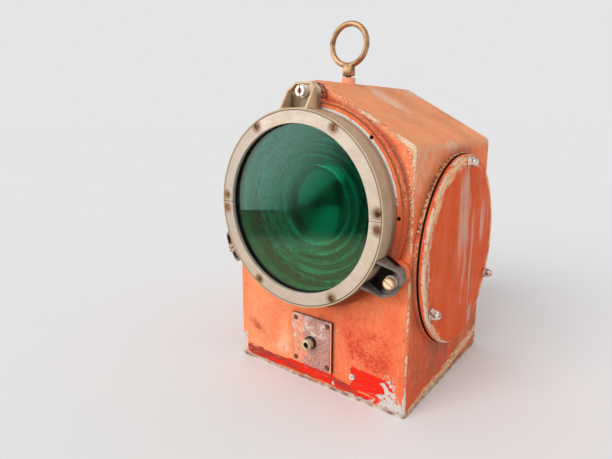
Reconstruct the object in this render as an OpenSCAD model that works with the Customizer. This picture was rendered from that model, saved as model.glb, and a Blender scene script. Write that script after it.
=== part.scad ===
// Ship signal lantern: a cast housing with a gable roof, a green lens unit bolted to its front,
// a round inspection cover on its right side, a cable gland below the lens and a lifting eye
// that swivels on the ridge. Inside, a lamp on a bracket stands behind a stepped lens.
// Millimetres. The front faces -Y, +Z is up, and the origin is the middle of the underside.

/* [Housing] */
// Width of the housing, side to side
body_w = 260; // [250:1:300]
// Depth of the housing, front to back
body_d = 250; // [244:1:300]
// Height of the eaves above the ground
eave_h = 314; // [308:1:340]
// Height of the roof ridge above the ground
ridge_h = 391; // [388:1:420]
// Thickness of the cast walls
wall_t = 4; // [3:0.5:6]
// Rounding of the eaves
eave_r = 10; // [7:1:16]
// Rounding of the ridge
ridge_r = 14; // [8:1:24]
// Rounding of the upright edges and of the gable edges
edge_r = 5; // [2:0.5:6]

/* [Base] */
// Thickness of the base plate
base_t = 4; // [3:0.5:8]
// Spacing of the fixing holes from left to right
base_hole_x = 180; // [120:1:200]
// Spacing of the fixing holes from front to back
base_hole_y = 170; // [120:1:190]
// Diameter of the fixing holes
base_hole_d = 9; // [5:0.5:14]
// Thread diameter of the screws that hold the base plate
base_screw_d = 6; // [4:0.5:8]
// Length of the screws that hold the base plate
base_screw_l = 16; // [12:1:20]

/* [Lens unit] */
// Distance of the lens axis below the ridge
lens_drop = 152; // [149:1:166]
// Clear diameter of the green glass
aperture_d = 200; // [180:1:204]
// Width of the bezel's front face
face_w = 17; // [15:0.5:20]
// Depth of the cast bezel, front to back
bezel_h = 27.5; // [24:0.5:40]
// Thickness of the split retaining ring
half_t = 5; // [3:0.5:7]
// Width of the thin rim round the retaining ring
rim_w = 1.7; // [1:0.1:2.5]
// Width of the saw cut between the two half rings
split_gap = 0.6; // [0.4:0.1:2]
// Thickness of the green glass
glass_t = 6; // [3:0.5:8]
// How far the glass reaches under the retaining ring
glass_lap = 6.5; // [4:0.5:8]
// Thickness of each rubber gasket
gasket_t = 2; // [1:0.5:3]
// Thread diameter of the retaining screws
face_screw_d = 4; // [3:0.5:5]
// Length of the retaining screws
face_screw_l = 13; // [9:0.5:16]
// Metal between a retaining screw's countersink and the ring's outer edge
face_screw_edge = 0.6; // [0.4:0.1:2]

/* [Lugs] */
// Width of a lug
lug_w = 39; // [34:1:44]
// Width of a lug's tip
lug_tip_w = 22; // [16:1:30]
// Length of the cut corners at the tip
lug_corner = 8; // [4:0.5:10]
// Thickness of the plate under the bolt head
lug_plate_t = 6; // [4:0.5:8]
// Thickness of the walls round the pocket
lug_wall_t = 2.5; // [2:0.5:6]
// Height of the walls at the tip
lug_tip_h = 6.5; // [6.5:0.5:14]
// Distance of the bolts from the bezel's outer edge
bolt_out = 19; // [16:0.5:24]
// Thread diameter of the lug bolts
bolt_d = 8; // [6:0.5:9]
// Diameter of the lug bolt heads
bolt_head_d = 12.5; // [10:0.5:16]
// Height of the lug bolt heads
bolt_head_h = 6.5; // [4:0.5:9]
// Diameter of the lug washers
lug_washer_d = 15; // [12:0.5:19]
// Thickness of the lug washers
lug_washer_t = 2; // [1:0.5:3]

/* [Front collar] */
// How far the collar stands out round the bezel
collar_band = 9; // [7:0.5:10]
// Height of the collar on the front face
collar_h = 12.5; // [10:0.5:18]
// Rounding of the collar's outer edge
collar_round = 4; // [1:0.5:6]
// How far the collar's spigot reaches into the housing
spigot_l = 20; // [17:0.5:30]
// Thickness of the spigot's wall
spigot_t = 7; // [5:0.5:8]
// Thickness of the ledge that carries the stepped lens
ledge_t = 3; // [2:0.5:5]
// Number of tapped holes round the collar
collar_holes = 8; // [4:1:12]
// Diameter of the tapped holes round the collar
collar_hole_d = 4.2; // [3:0.1:4.6]
// Depth of the tapped holes round the collar
collar_hole_l = 9; // [5:0.5:10]

/* [Stepped lens] */
// Radius of the bull's-eye in the middle
bull_r = 49; // [35:1:60]
// Number of rings round the bull's-eye
zone_count = 4; // [2:1:6]
// Radius that the lens surfaces are ground to
lens_curve_r = 90; // [80:1:140]
// Thickness of the lens at its rim
lens_rim_t = 6; // [4:0.5:9]
// Thickness of the seat ring under the lens
lens_seat_t = 1.5; // [1:0.5:3]
// Thickness of the spring ring in front of the lens
clip_t = 1.5; // [1:0.5:2.5]

/* [Side cover] */
// Distance of the cover's centre below the eaves
cover_drop = 134; // [130:1:154]
// Diameter of the cover
cover_d = 240; // [220:1:242]
// Thickness of the cover
cover_t = 7; // [5:0.5:12]
// Bevel round the cover's outer edge
cover_bevel = 2; // [1:0.5:4]
// Width of the face that the cover seats on, round the opening
cover_seat_w = 20; // [18:0.5:35]
// How far the flange on the side stands out
side_flange_t = 5; // [4:0.5:10]
// How far the flange reaches past the cover
side_flange_lip = 2; // [1:0.5:3]
// Thread diameter of the cover screws
cover_screw_d = 6; // [4:0.5:6]
// Width across the corners of the cover screw heads
cover_head_d = 12.5; // [10:0.5:14]
// Height of the six-sided part of the cover screw heads
cover_head_h = 4.5; // [3:0.5:8]
// Diameter of the washers under the cover screws
cover_washer_d = 14; // [13:0.5:18]
// Thickness of the washers under the cover screws
cover_washer_t = 1.5; // [1:0.5:2.5]

/* [Cable gland] */
// How far the gland plate sits above the middle of the wall below the collar
gland_lift = 0.5; // [-8:0.5:8]
// Width of the gland plate
gland_w = 63; // [54:1:80]
// Height of the gland plate
gland_h = 69; // [60:1:78]
// Thickness of the gland plate
gland_plate_t = 4; // [2:0.5:6]
// Thickness of the gasket under the gland plate
gland_gasket_t = 1; // [0.5:0.5:2]
// Distance of the gland plate's screws from its edges
gland_screw_in = 6.5; // [5.5:0.5:10]
// Thread diameter of the gland plate's screws
gland_screw_d = 4; // [3:0.5:5]
// Bore for the cable
cable_d = 7.2; // [5:0.2:8]
// Thread diameter of the gland body behind its flange
gland_thread_d = 13; // [12:0.5:16]
// Diameter of the gland body's flange
gland_flange_d = 17; // [16.5:0.5:22]
// Thickness of the gland body's flange
gland_flange_t = 3.5; // [2:0.5:6]
// Outer diameter of the gland nut
gland_nut_d = 13.6; // [13:0.2:16]
// Length of the gland nut
gland_nut_l = 8.2; // [7:0.2:14]

/* [Earth screw] */
// Distance of the earth screw to the right of the middle
earth_x = 60; // [50:1:90]
// Height of the earth screw above the ground
earth_z = 30; // [22:1:60]
// Thread diameter of the earth screw
earth_d = 4; // [3:0.5:6]

/* [Lifting eye] */
// Distance of the eye in front of the housing's middle
eye_y = 50; // [30:1:80]
// Height of the ring's centre above the ridge
eye_rise = 45.5; // [42:0.5:60]
// Outer diameter of the ring
eye_d = 58; // [50:0.5:64]
// Diameter of the ring's stock
eye_stock_d = 7.2; // [5:0.2:9]
// Width of the shank below the ring
shank_w = 15.5; // [12:0.5:20]
// Thickness of the shank below the ring
shank_t = 9; // [8.4:0.2:11]
// Clear height of the stud between boss and shank
neck_h = 2; // [1:0.5:4]
// Diameter of the stud
stud_d = 7; // [5:0.5:7]
// Diameter of the boss on the ridge
boss_d = 17.5; // [16:0.5:28]
// Height of the boss above the ridge
boss_h = 4.5; // [2:0.5:8]
// How far the boss reaches below the ridge inside
boss_depth = 20; // [18:1:30]

/* [Lamp] */
// Distance of the lamp behind the housing's middle
lamp_y = 5; // [0:1:30]
// Distance of the filament above the bayonet pins
light_centre = 67; // [62:1:80]
// Diameter of the bulb
bulb_d = 60; // [44:1:70]
// Thickness of the bulb's glass
bulb_wall_t = 1; // [0.6:0.1:1.6]
// Diameter of the bulb's cap
cap_d = 22; // [20:0.2:22.4]
// Turn of the bulb from locked to free, in degrees
bayonet_turn = 15; // [10:1:20]
// Width of the lamp bracket
bracket_w = 42; // [42:1:60]
// Thickness of the lamp bracket's strip
bracket_t = 2.5; // [1.5:0.5:4]

/* [Terminal block] */
// Distance of the terminal block in front of the housing's middle
block_y = 70; // [60:1:80]
// Length of the terminal block
block_w = 44; // [38:1:60]
// Diameter of the inner wires
wire_d = 3; // [2:0.2:3.2]

/* [Fits] */
// Gap round a piece that drops into a seat
seat_gap = 0.4; // [0.3:0.1:0.6]
// Gap between a thread and its hole
thread_gap = 0.05; // [0.03:0.01:0.1]
// Gap round a screw in a plain hole
hole_gap = 0.3; // [0.2:0.05:0.5]
// Gap between faces that turn past each other
turn_gap = 0.3; // [0.2:0.05:0.5]

/* [Hidden] */
$fn = 96;

// Overshoot of a cut past the face that it opens
cut = 1;
// Room past the tip of a screw in a blind hole
tip_gap = 1;

// Screw heads, for each millimetre of thread: radius of a countersunk head and depth of its slot,
// width and height of a round head, width of a slot. A round head's slot takes a share of its height.
csk_head = 0.92;
csk_slot = 0.2;
pan_width = 1.8;
pan_height = 0.6;
slot_width = 0.22;
pan_slot = 0.45;

// Roof: slope of each side, and the centres that the eaves and the ridge are rounded about
roof_slope = atan2(ridge_h - eave_h, body_w / 2);
eave_cz = eave_h - eave_r * (1 - sin(roof_slope)) / cos(roof_slope);
ridge_cz = ridge_h - ridge_r / cos(roof_slope);
arc_steps = 6;
edge_steps = 5;

// Inner faces of the end walls, and the turn of the rounding that lies within their thickness
inner_y = body_d / 2 - wall_t;
edge_turn = edge_r > wall_t ? acos(1 - wall_t / edge_r) : 90;

// Screws under the base plate, in bosses in the housing's corners
corner_boss_wall = 6;
corner_boss_roof = 4;
corner_bite = 1;
corner_clear = 1;
corner_boss_r = base_screw_d / 2 + corner_boss_wall;
corner_boss_h = base_screw_l + corner_boss_roof;
corner_x = body_w / 2 - wall_t - corner_boss_r + corner_bite;
corner_y = inner_y - corner_boss_r - corner_clear;
csk_sink = 0.2;

// Lens unit, hung from the ridge and counted forwards from the housing's front face
lens_z = ridge_h - lens_drop;
aperture_r = aperture_d / 2;
bezel_r = aperture_r + face_w;
bezel_back = collar_h + gasket_t;
bezel_front = bezel_back + bezel_h;
half_back = bezel_front - half_t;
glass_r = aperture_r + glass_lap;
glass_back = half_back - gasket_t - glass_t;
seat_front = glass_back - gasket_t;
half_ring_r = bezel_r - rim_w - seat_gap;
face_screw_r = half_ring_r - face_screw_edge - hole_gap - face_screw_d * csk_head;
split_screw_angle = 4.5;
face_screw_angles = [split_screw_angle, 60, 120, 180 - split_screw_angle,
    180 + split_screw_angle, 240, 300, 360 - split_screw_angle];
lug_angles = [90, 210, 330];
bolt_r = bezel_r + bolt_out;
bolt_foot = 2.5;
lug_play = 0.5;
lug_set_back = 0.6;
lug_tip_r = bolt_r + max(lug_washer_d, bolt_head_d) / 2 + lug_play + lug_wall_t;
bezel_gasket_in = 2;

// Collar and stepped lens
collar_r = bezel_r + collar_band;
ear_shrink = 1;
lens_rim_lap = 4.6;
lens_zone_in = 2;
lens_r = aperture_r + lens_rim_lap;
lens_bore_r = lens_r + seat_gap;
spigot_r = lens_bore_r + spigot_t;
ledge_lap = 1;
ledge_r = aperture_r - ledge_lap;
collar_hole_r = bezel_r + seat_gap + collar_hole_d / 2;
lens_back = ledge_t + lens_seat_t - spigot_l;
lens_rim_front = lens_back + lens_rim_t;
lens_zone_r = aperture_r - lens_zone_in;
zone_step = (lens_zone_r - bull_r) / zone_count;
zone_points = 8;
clip_groove = 1.4;
clip_reach = 4;
clip_gap = 12;
clip_play = 0.1;

// Side cover, hung from the eaves and counted outwards from the housing's right face
cover_z = eave_h - cover_drop;
cover_r = cover_d / 2;
cover_back = side_flange_t + gasket_t;
cover_front = cover_back + cover_t;
cover_hole_r = cover_r - cover_seat_w;
cover_screw_r = cover_r - cover_bevel - cover_washer_d / 2;
cover_screw_angles = [90, 210, 330];
cover_spigot_h = 3;

// Gland, between base and collar and counted forwards from the housing's front face
gland_z = (base_t + lens_z - collar_r) / 2 + gland_lift;
gland_plate_front = gland_gasket_t + gland_plate_t;
gland_flange_front = gland_plate_front + gland_flange_t;
gland_nut_front = gland_flange_front + turn_gap + gland_nut_l;
gland_nut_wall = 1.7;
gland_seal_t = 2;
gland_neck_front = gland_nut_front - gland_nut_wall - turn_gap - gland_seal_t;
gland_nut_side = 1.8;
gland_neck_r = gland_nut_d / 2 - gland_nut_side;
gland_tail = 8;
gland_back = -wall_t - gland_tail;
locknut_t = 5;
locknut_side = 4;
locknut_r = gland_thread_d / 2 + locknut_side;

// Eye
eye_z = ridge_h + eye_rise;
eye_ring_r = (eye_d - eye_stock_d) / 2;
boss_top = ridge_h + boss_h;
boss_foot = ridge_h - boss_depth;
shank_foot = boss_top + neck_h;
stud_grip = 10;
eye_washer_t = 1.5;
eye_washer_in = 1;
eye_nut_t = 6;
stud_tail = 3;
eye_nut_top = boss_foot - eye_washer_t - turn_gap;
stud_foot = eye_nut_top - eye_nut_t - stud_tail;

// Bulb, built down from the filament at the height of the lens axis
pin_z = lens_z - light_centre;
pin_r = 1.1;
pin_reach = 2;
pin_play = 0.5;
cap_r = cap_d / 2;
cap_wall = 1;
cap_above = 14;
cap_floor_drop = 2;
cap_top = pin_z + cap_above;
cap_floor = pin_z - cap_floor_drop;
neck_r = cap_r - cap_wall;

// Lampholder
cap_play = 0.6;
sleeve_t = 1.6;
sleeve_in_r = cap_r + cap_play;
sleeve_r = sleeve_in_r + sleeve_t;
sleeve_above = 6;
sleeve_below = 20.5;
sleeve_top = pin_z + sleeve_above;
sleeve_foot = pin_z - sleeve_below;
sleeve_flange_t = 1.5;
sleeve_flange_w = 6;
slot_half = pin_r + pin_play;
slot_play = atan2(slot_half, sleeve_in_r);
holder_lip = 1.5;
holder_flange_r = sleeve_r + sleeve_flange_w;
holder_base_r = holder_flange_r + holder_lip;
holder_base_t = 12;
holder_screw_d = 3;
holder_screw_y = sleeve_r + sleeve_flange_w / 2;
shelf_top = sleeve_foot - holder_base_t;
contact_x = 3.3;
contact_r = 1.6;
contact_below = 14;
contact_tail = 7;
contact_room = 2;
contact_top = pin_z - contact_below;
contact_foot = shelf_top - bracket_t - contact_tail;
cap_foot = contact_top + turn_gap;

// Lamp bracket
bracket_margin = 2;
bracket_back = lamp_y + bracket_w / 2 + bracket_margin;
bracket_reach = bracket_w + bracket_margin;
bracket_screw_d = 5;
bracket_screw_in = 7;
bracket_screw_x = bracket_w / 2 - bracket_screw_in;

// Terminal block
block_d = 22;
block_h = 16;
terminal_x = block_w / 4;
wire_z = base_t + block_h / 2;

// Places a shape on the front face, with local z pointing forwards and local y up
module on_front(height) {
    translate([0, -body_d / 2, height]) rotate([90, 0, 0]) children();
}

// Places a shape on the right face, with local z pointing outwards and local y up
module on_right() {
    translate([body_w / 2, 0, cover_z]) rotate([90, 0, 90]) children();
}

// Repeats a shape at a radius and a list of angles round local z
module at_angles(angles, radius) {
    for (a = angles) rotate([0, 0, a]) translate([radius, 0, 0]) children();
}

// Repeats a shape at the four corners of a rectangle
module at_corners(dx, dy) {
    for (sx = [-1, 1], sy = [-1, 1]) translate([sx * dx, sy * dy, 0]) children();
}

// Flat ring with its foot at z0
module ring(outer, inner, z0, height) {
    translate([0, 0, z0]) difference() {
        cylinder(r = outer, h = height);
        translate([0, 0, -cut]) cylinder(r = inner, h = height + 2 * cut);
    }
}

// Straight hole from z0 to z1
module hole(radius, z0, z1) {
    translate([0, 0, z0]) cylinder(r = radius, h = z1 - z0);
}

// Slot across a screw head whose top is at z = 0
module screw_slot(d, head_r, depth) {
    translate([-head_r - cut, -d * slot_width / 2, -depth])
        cube([2 * (head_r + cut), d * slot_width, depth + cut]);
}

// Countersunk slotted screw with the top of its head at z = 0 and its thread below
module csk_screw(d, length) {
    head_r = d * csk_head;
    head_h = head_r - d / 2;
    difference() {
        union() {
            translate([0, 0, -head_h]) cylinder(r1 = d / 2, r2 = head_r, h = head_h);
            hole(d / 2, -length, -head_h);
        }
        screw_slot(d, head_r, d * csk_slot);
    }
}

// Countersunk hole for that screw, with its mouth at z = 0
module csk_hole(d, depth) {
    head_r = d * csk_head + hole_gap;
    head_h = head_r - d / 2 - hole_gap;
    translate([0, 0, -head_h]) cylinder(r1 = d / 2 + hole_gap, r2 = head_r, h = head_h);
    hole(head_r, 0, cut);
    hole(d / 2 + hole_gap, -depth, -head_h);
}

// Round slotted head standing on z = 0, with a thread below it
module pan_screw(d, head_d, head_h, length) {
    difference() {
        union() {
            cylinder(r = head_d / 2, h = head_h);
            hole(d / 2, -length, head_h / 2);
        }
        translate([0, 0, head_h]) screw_slot(d, head_d / 2, head_h * pan_slot);
    }
}

// Small round-headed screw of the usual proportions
module small_screw(d, length) {
    pan_screw(d, d * pan_width, d * pan_height, length);
}

// Points along an arc
function arc(centre, radius, a0, a1, steps) =
    [for (i = [0:steps]) let (a = a0 + (a1 - a0) * i / steps) centre + radius * [cos(a), sin(a)]];

// Gable outline drawn in by an inset, open downwards to a given height
function gable(inset, foot) = concat(
    [[body_w / 2 - inset, foot]],
    arc([body_w / 2 - eave_r, eave_cz], eave_r - inset, 0, 90 - roof_slope, arc_steps),
    arc([0, ridge_cz], ridge_r - inset, 90 - roof_slope, 90 + roof_slope, arc_steps),
    arc([eave_r - body_w / 2, eave_cz], eave_r - inset, 90 + roof_slope, 180, arc_steps),
    [[inset - body_w / 2, foot]]);

// Right half of the gable outline from the eaves up, drawn in by an inset
function roof_half(inset) = concat(
    arc([body_w / 2 - eave_r, eave_cz], eave_r - inset, 0, 90 - roof_slope, arc_steps),
    arc([0, ridge_cz], ridge_r - inset, 90 - roof_slope, 90, arc_steps));

// End wall in the gable outline, at the front, drawn in towards its outer face
module end_wall() {
    rings = [for (i = [0:edge_steps]) let (a = edge_turn * i / edge_steps)
        [i == edge_steps ? wall_t : edge_r * (1 - cos(a)), edge_r * (1 - sin(a))]];
    side = len(gable(0, base_t));
    points = [for (r = rings) each [for (p = gable(r[1], base_t)) [p[0], r[0] - body_d / 2, p[1]]]];
    walls = [for (k = [0:edge_steps - 1], i = [0:side - 1]) let (j = (i + 1) % side)
        [k * side + i, k * side + j, (k + 1) * side + j, (k + 1) * side + i]];
    caps = [[for (i = [side - 1:-1:0]) i], [for (i = [0:side - 1]) edge_steps * side + i]];
    polyhedron(points, concat(walls, caps), convexity = 4);
}

// Side wall on the right, between the end walls, with the bosses that the base plate screws into
module side_wall() {
    difference() {
        union() {
            translate([body_w / 2 - wall_t, -inner_y, base_t])
                cube([wall_t, 2 * inner_y, eave_cz - base_t]);
            for (sy = [-1, 1]) translate([corner_x, sy * corner_y, 0])
                hole(corner_boss_r, base_t, base_t + corner_boss_h);
        }
        for (sy = [-1, 1]) translate([corner_x, sy * corner_y, 0])
            hole(base_screw_d / 2 + thread_gap, base_t - cut, base_screw_l + tip_gap);
    }
}

// Right side of the roof, from the eaves to the ridge, with half of the boss's hole
module roof_side() {
    outer = roof_half(0);
    inner = roof_half(wall_t);
    difference() {
        translate([0, inner_y, 0]) rotate([90, 0, 0]) linear_extrude(2 * inner_y)
            polygon(concat(outer, [for (i = [len(inner) - 1:-1:0]) inner[i]]));
        translate([0, -eye_y, 0]) hole(boss_d / 2, boss_foot - cut, boss_top + cut);
    }
}

// Front wall, with the lens opening, the cable hole and the earth screw's hole
module front_wall() {
    color([0.80, 0.33, 0.18]) difference() {
        end_wall();
        on_front(lens_z) hole(spigot_r + seat_gap, -wall_t - cut, cut);
        on_front(gland_z) hole(gland_thread_d / 2 + hole_gap, -wall_t - cut, cut);
        on_front(gland_z) at_corners(gland_w / 2 - gland_screw_in, gland_h / 2 - gland_screw_in)
            hole(gland_screw_d / 2 + thread_gap, -wall_t - cut, cut);
        on_front(earth_z) translate([earth_x, 0, 0])
            hole(earth_d / 2 + thread_gap, -wall_t - cut, cut);
    }
}

// Back wall
module back_wall() {
    color([0.80, 0.33, 0.18]) mirror([0, 1, 0]) end_wall();
}

// Left wall
module left_wall() {
    color([0.80, 0.33, 0.18]) mirror([1, 0, 0]) side_wall();
}

// Right wall, with the opening that the cover closes
module right_wall() {
    color([0.80, 0.33, 0.18]) difference() {
        side_wall();
        on_right() hole(cover_hole_r, -wall_t - cut, cut);
        on_right() at_angles(cover_screw_angles, cover_screw_r)
            hole(cover_screw_d / 2 + hole_gap, -wall_t - cut, cut);
    }
}

// Left side of the roof
module roof_left() {
    color([0.80, 0.33, 0.18]) mirror([1, 0, 0]) roof_side();
}

// Right side of the roof
module roof_right() {
    color([0.80, 0.33, 0.18]) roof_side();
}

// Boss in the ridge that the eye's stud runs through
module roof_boss() {
    color([0.80, 0.33, 0.18]) translate([0, -eye_y, 0]) difference() {
        hole(boss_d / 2, boss_foot, boss_top);
        hole(stud_d / 2 + thread_gap, boss_foot - cut, boss_top + cut);
    }
}

// Base plate, level with the housing's outer walls
module base_plate() {
    color([0.72, 0.68, 0.62]) difference() {
        union() {
            translate([-body_w / 2, edge_r - body_d / 2, 0]) cube([body_w, body_d - 2 * edge_r, base_t]);
            translate([edge_r - body_w / 2, -body_d / 2, 0]) cube([body_w - 2 * edge_r, body_d, base_t]);
            at_corners(body_w / 2 - edge_r, body_d / 2 - edge_r) cylinder(r = edge_r, h = base_t);
        }
        at_corners(base_hole_x / 2, base_hole_y / 2) hole(base_hole_d / 2, -cut, base_t + cut);
        at_corners(corner_x, corner_y)
            mirror([0, 0, 1]) translate([0, 0, -csk_sink]) csk_hole(base_screw_d, base_t + cut);
        for (sx = [-1, 1]) translate([sx * bracket_screw_x, lamp_y, 0])
            hole(bracket_screw_d / 2 + thread_gap, -cut, base_t + cut);
        translate([0, -block_y, 0]) hole(holder_screw_d / 2 + thread_gap, -cut, base_t + cut);
    }
}

// Countersunk screws that hold the base plate from below
module base_screws() {
    color([0.60, 0.60, 0.58]) at_corners(corner_x, corner_y)
        mirror([0, 0, 1]) translate([0, 0, -csk_sink]) csk_screw(base_screw_d, base_screw_l);
}

// Outline of a lug or an ear in the plane of the front, pointing along local x from radius r0
module lug_outline(r0, shrink) {
    tip = lug_tip_r - shrink;
    half = lug_w / 2 - shrink;
    half_tip = lug_tip_w / 2 - shrink / 2;
    polygon([[r0, -half], [tip - lug_corner, -half], [tip, -half_tip],
        [tip, half_tip], [tip - lug_corner, half], [r0, half]]);
}

// Collar on the front face: a flange with three ears, and a spigot that carries the stepped lens
module front_collar() {
    groove_r = lens_bore_r + clip_groove;
    groove_back = lens_rim_front - clip_play;
    groove_front = lens_rim_front + clip_t + clip_play;
    ear_root = lens_bore_r + spigot_t / 2;
    color([0.82, 0.35, 0.18]) on_front(lens_z) difference() {
        union() {
            rotate_extrude() polygon(concat(
                [[ledge_r, -spigot_l], [spigot_r, -spigot_l], [spigot_r, 0], [collar_r, 0]],
                arc([collar_r - collar_round, collar_h - collar_round], collar_round, 0, 90, arc_steps),
                [[lens_bore_r, collar_h], [lens_bore_r, groove_front], [groove_r, groove_front],
                [groove_r, groove_back], [lens_bore_r, groove_back],
                [lens_bore_r, ledge_t - spigot_l], [ledge_r, ledge_t - spigot_l]]));
            for (a = lug_angles) rotate([0, 0, a])
                linear_extrude(collar_h) lug_outline(ear_root, ear_shrink);
        }
        at_angles([for (i = [0:collar_holes - 1]) 360 * i / collar_holes], collar_hole_r)
            hole(collar_hole_d / 2, collar_h - collar_hole_l, collar_h + cut);
        at_angles(lug_angles, bolt_r) hole(bolt_d / 2 + thread_gap, bolt_foot - cut, collar_h + cut);
    }
}

// Flange on the right side that the cover closes
module side_flange() {
    outer = cover_r + side_flange_lip;
    round_r = min(2, side_flange_t / 2);
    color([0.80, 0.32, 0.18]) on_right() difference() {
        rotate_extrude() polygon(concat(
            [[cover_hole_r - seat_gap, 0], [outer, 0]],
            arc([outer - round_r, side_flange_t - round_r], round_r, 0, 90, arc_steps),
            [[cover_hole_r - seat_gap, side_flange_t]]));
        at_angles(cover_screw_angles, cover_screw_r)
            hole(cover_screw_d / 2 + thread_gap, -cut, side_flange_t + cut);
    }
}

// Earth screw low on the front face
module earth_screw() {
    color([0.85, 0.82, 0.75]) on_front(earth_z) translate([earth_x, 0, 0])
        small_screw(earth_d, wall_t);
}

// Ring of round stock on a flat shank
module lifting_eye() {
    color([0.52, 0.38, 0.24]) translate([0, -eye_y, 0]) difference() {
        union() {
            translate([0, 0, eye_z]) rotate([90, 0, 0])
                rotate_extrude() translate([eye_ring_r, 0]) circle(eye_stock_d / 2);
            translate([-shank_w / 2, -shank_t / 2, shank_foot])
                cube([shank_w, shank_t, eye_z - eye_ring_r - shank_foot]);
        }
        hole(stud_d / 2 + thread_gap, shank_foot - cut, shank_foot + stud_grip + thread_gap);
    }
}

// Stud that the eye is screwed on, running down through the boss
module eye_stud() {
    color([0.25, 0.23, 0.22]) translate([0, -eye_y, 0])
        hole(stud_d / 2, stud_foot, shank_foot + stud_grip);
}

// Washer between the boss and the nut
module eye_washer() {
    color([0.60, 0.60, 0.58]) translate([0, -eye_y, 0])
        ring(boss_d / 2 - eye_washer_in, stud_d / 2 + hole_gap, boss_foot - eye_washer_t, eye_washer_t);
}

// Nut that holds the stud inside the roof
module eye_nut() {
    color([0.60, 0.60, 0.58]) translate([0, -eye_y, eye_nut_top - eye_nut_t]) difference() {
        cylinder(r = stud_d, h = eye_nut_t, $fn = 6);
        hole(stud_d / 2 + thread_gap, -cut, eye_nut_t + cut);
    }
}

// Walls of a lug: its outline up to a front that slopes down from the bezel to the tip
module lug_block() {
    tip_front = bezel_back + lug_tip_h;
    root_front = bezel_front - lug_set_back;
    root = glass_r + face_w / 2;
    intersection() {
        translate([0, 0, bezel_back]) linear_extrude(bezel_h) lug_outline(root, 0);
        rotate([90, 0, 0]) translate([0, 0, -lug_w]) linear_extrude(2 * lug_w)
            polygon([[root, bezel_back], [lug_tip_r + cut, bezel_back], [lug_tip_r + cut, tip_front],
                [bezel_r, root_front], [root, root_front]]);
    }
}

// Pocket in a lug, over the plate that the bolt goes through
module lug_pocket() {
    translate([0, 0, bezel_back + lug_plate_t])
        linear_extrude(bezel_h) lug_outline(bezel_r, lug_wall_t);
}

// Cast bezel with three pocketed lugs, and the seat for the green glass
module bezel_ring() {
    pocket_r = glass_r + seat_gap;
    color([0.72, 0.65, 0.54]) on_front(lens_z) difference() {
        union() {
            difference() {
                for (a = lug_angles) rotate([0, 0, a]) difference() {
                    lug_block();
                    lug_pocket();
                }
                hole(bezel_r - rim_w, bezel_back - cut, bezel_front + cut);
            }
            rotate_extrude() polygon([[ledge_r, bezel_back], [bezel_r, bezel_back],
                [bezel_r, bezel_front], [bezel_r - rim_w, bezel_front], [bezel_r - rim_w, half_back],
                [pocket_r, half_back], [pocket_r, seat_front], [ledge_r, seat_front]]);
        }
        at_angles(face_screw_angles, face_screw_r)
            hole(face_screw_d / 2 + thread_gap, bezel_front - face_screw_l - tip_gap, half_back + cut);
        at_angles(lug_angles, bolt_r)
            hole(bolt_d / 2 + hole_gap, bezel_back - cut, bezel_back + lug_plate_t + cut);
    }
}

// One half of the split retaining ring, above the lens axis
module half_ring(angles) {
    difference() {
        ring(half_ring_r, aperture_r, half_back, half_t);
        translate([-bezel_r, -2 * bezel_r + split_gap / 2, half_back - cut])
            cube([2 * bezel_r, 2 * bezel_r, half_t + 2 * cut]);
        at_angles(angles, face_screw_r) translate([0, 0, bezel_front])
            csk_hole(face_screw_d, half_t + cut);
    }
}

// Upper half of the retaining ring
module retaining_ring_upper() {
    color([0.80, 0.74, 0.66]) on_front(lens_z)
        half_ring([for (a = face_screw_angles) if (a < 180) a]);
}

// Lower half of the retaining ring
module retaining_ring_lower() {
    color([0.80, 0.74, 0.66]) on_front(lens_z) rotate([0, 0, 180])
        half_ring([for (a = face_screw_angles) if (a > 180) a - 180]);
}

// Countersunk screws in the retaining ring, two beside each split and two between
module retaining_screws() {
    color([0.55, 0.47, 0.36]) on_front(lens_z) at_angles(face_screw_angles, face_screw_r)
        translate([0, 0, bezel_front]) csk_screw(face_screw_d, face_screw_l);
}

// Green glass disc
module colour_glass() {
    color([0.02, 0.35, 0.26, 0.7]) on_front(lens_z) hole(glass_r, glass_back, glass_back + glass_t);
}

// Rubber ring between the glass and the retaining ring
module glass_gasket_front() {
    color([0.08, 0.08, 0.08]) on_front(lens_z)
        ring(glass_r, aperture_r + seat_gap, glass_back + glass_t, gasket_t);
}

// Rubber ring between the glass and its seat
module glass_gasket_rear() {
    color([0.08, 0.08, 0.08]) on_front(lens_z) ring(glass_r, ledge_r + seat_gap, seat_front, gasket_t);
}

// Bolts that draw the bezel onto the collar
module lug_bolts() {
    seat = bezel_back + lug_plate_t + lug_washer_t;
    color([0.78, 0.66, 0.42]) on_front(lens_z) at_angles(lug_angles, bolt_r)
        translate([0, 0, seat]) pan_screw(bolt_d, bolt_head_d, bolt_head_h, seat - bolt_foot);
}

// Washers under the lug bolts
module lug_washers() {
    color([0.62, 0.61, 0.58]) on_front(lens_z) at_angles(lug_angles, bolt_r)
        ring(lug_washer_d / 2, bolt_d / 2 + hole_gap, bezel_back + lug_plate_t, lug_washer_t);
}

// Rubber ring between the bezel and the collar
module bezel_gasket() {
    color([0.08, 0.08, 0.08]) on_front(lens_z)
        ring(bezel_r - bezel_gasket_in, lens_bore_r + seat_gap, collar_h, gasket_t);
}

// Front of the lens at radius r, in the zone whose outer edge is at radius r1
function zone_rise(r, r1) = lens_rim_front + (r1 * r1 - r * r) / (2 * lens_curve_r);

// Stepped lens: a bull's-eye with rings round it, flat at the back
module step_lens() {
    starts = concat([0], [for (i = [0:zone_count - 1]) bull_r + i * zone_step]);
    ends = [for (i = [0:zone_count]) bull_r + i * zone_step];
    zones = [for (i = [zone_count:-1:0], k = [0:zone_points])
        let (r = ends[i] + (starts[i] - ends[i]) * k / zone_points) [r, zone_rise(r, ends[i])]];
    color([0.80, 0.88, 0.84, 0.6]) on_front(lens_z) rotate_extrude()
        polygon(concat([[0, lens_back], [lens_r, lens_back], [lens_r, lens_rim_front]], zones));
}

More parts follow.
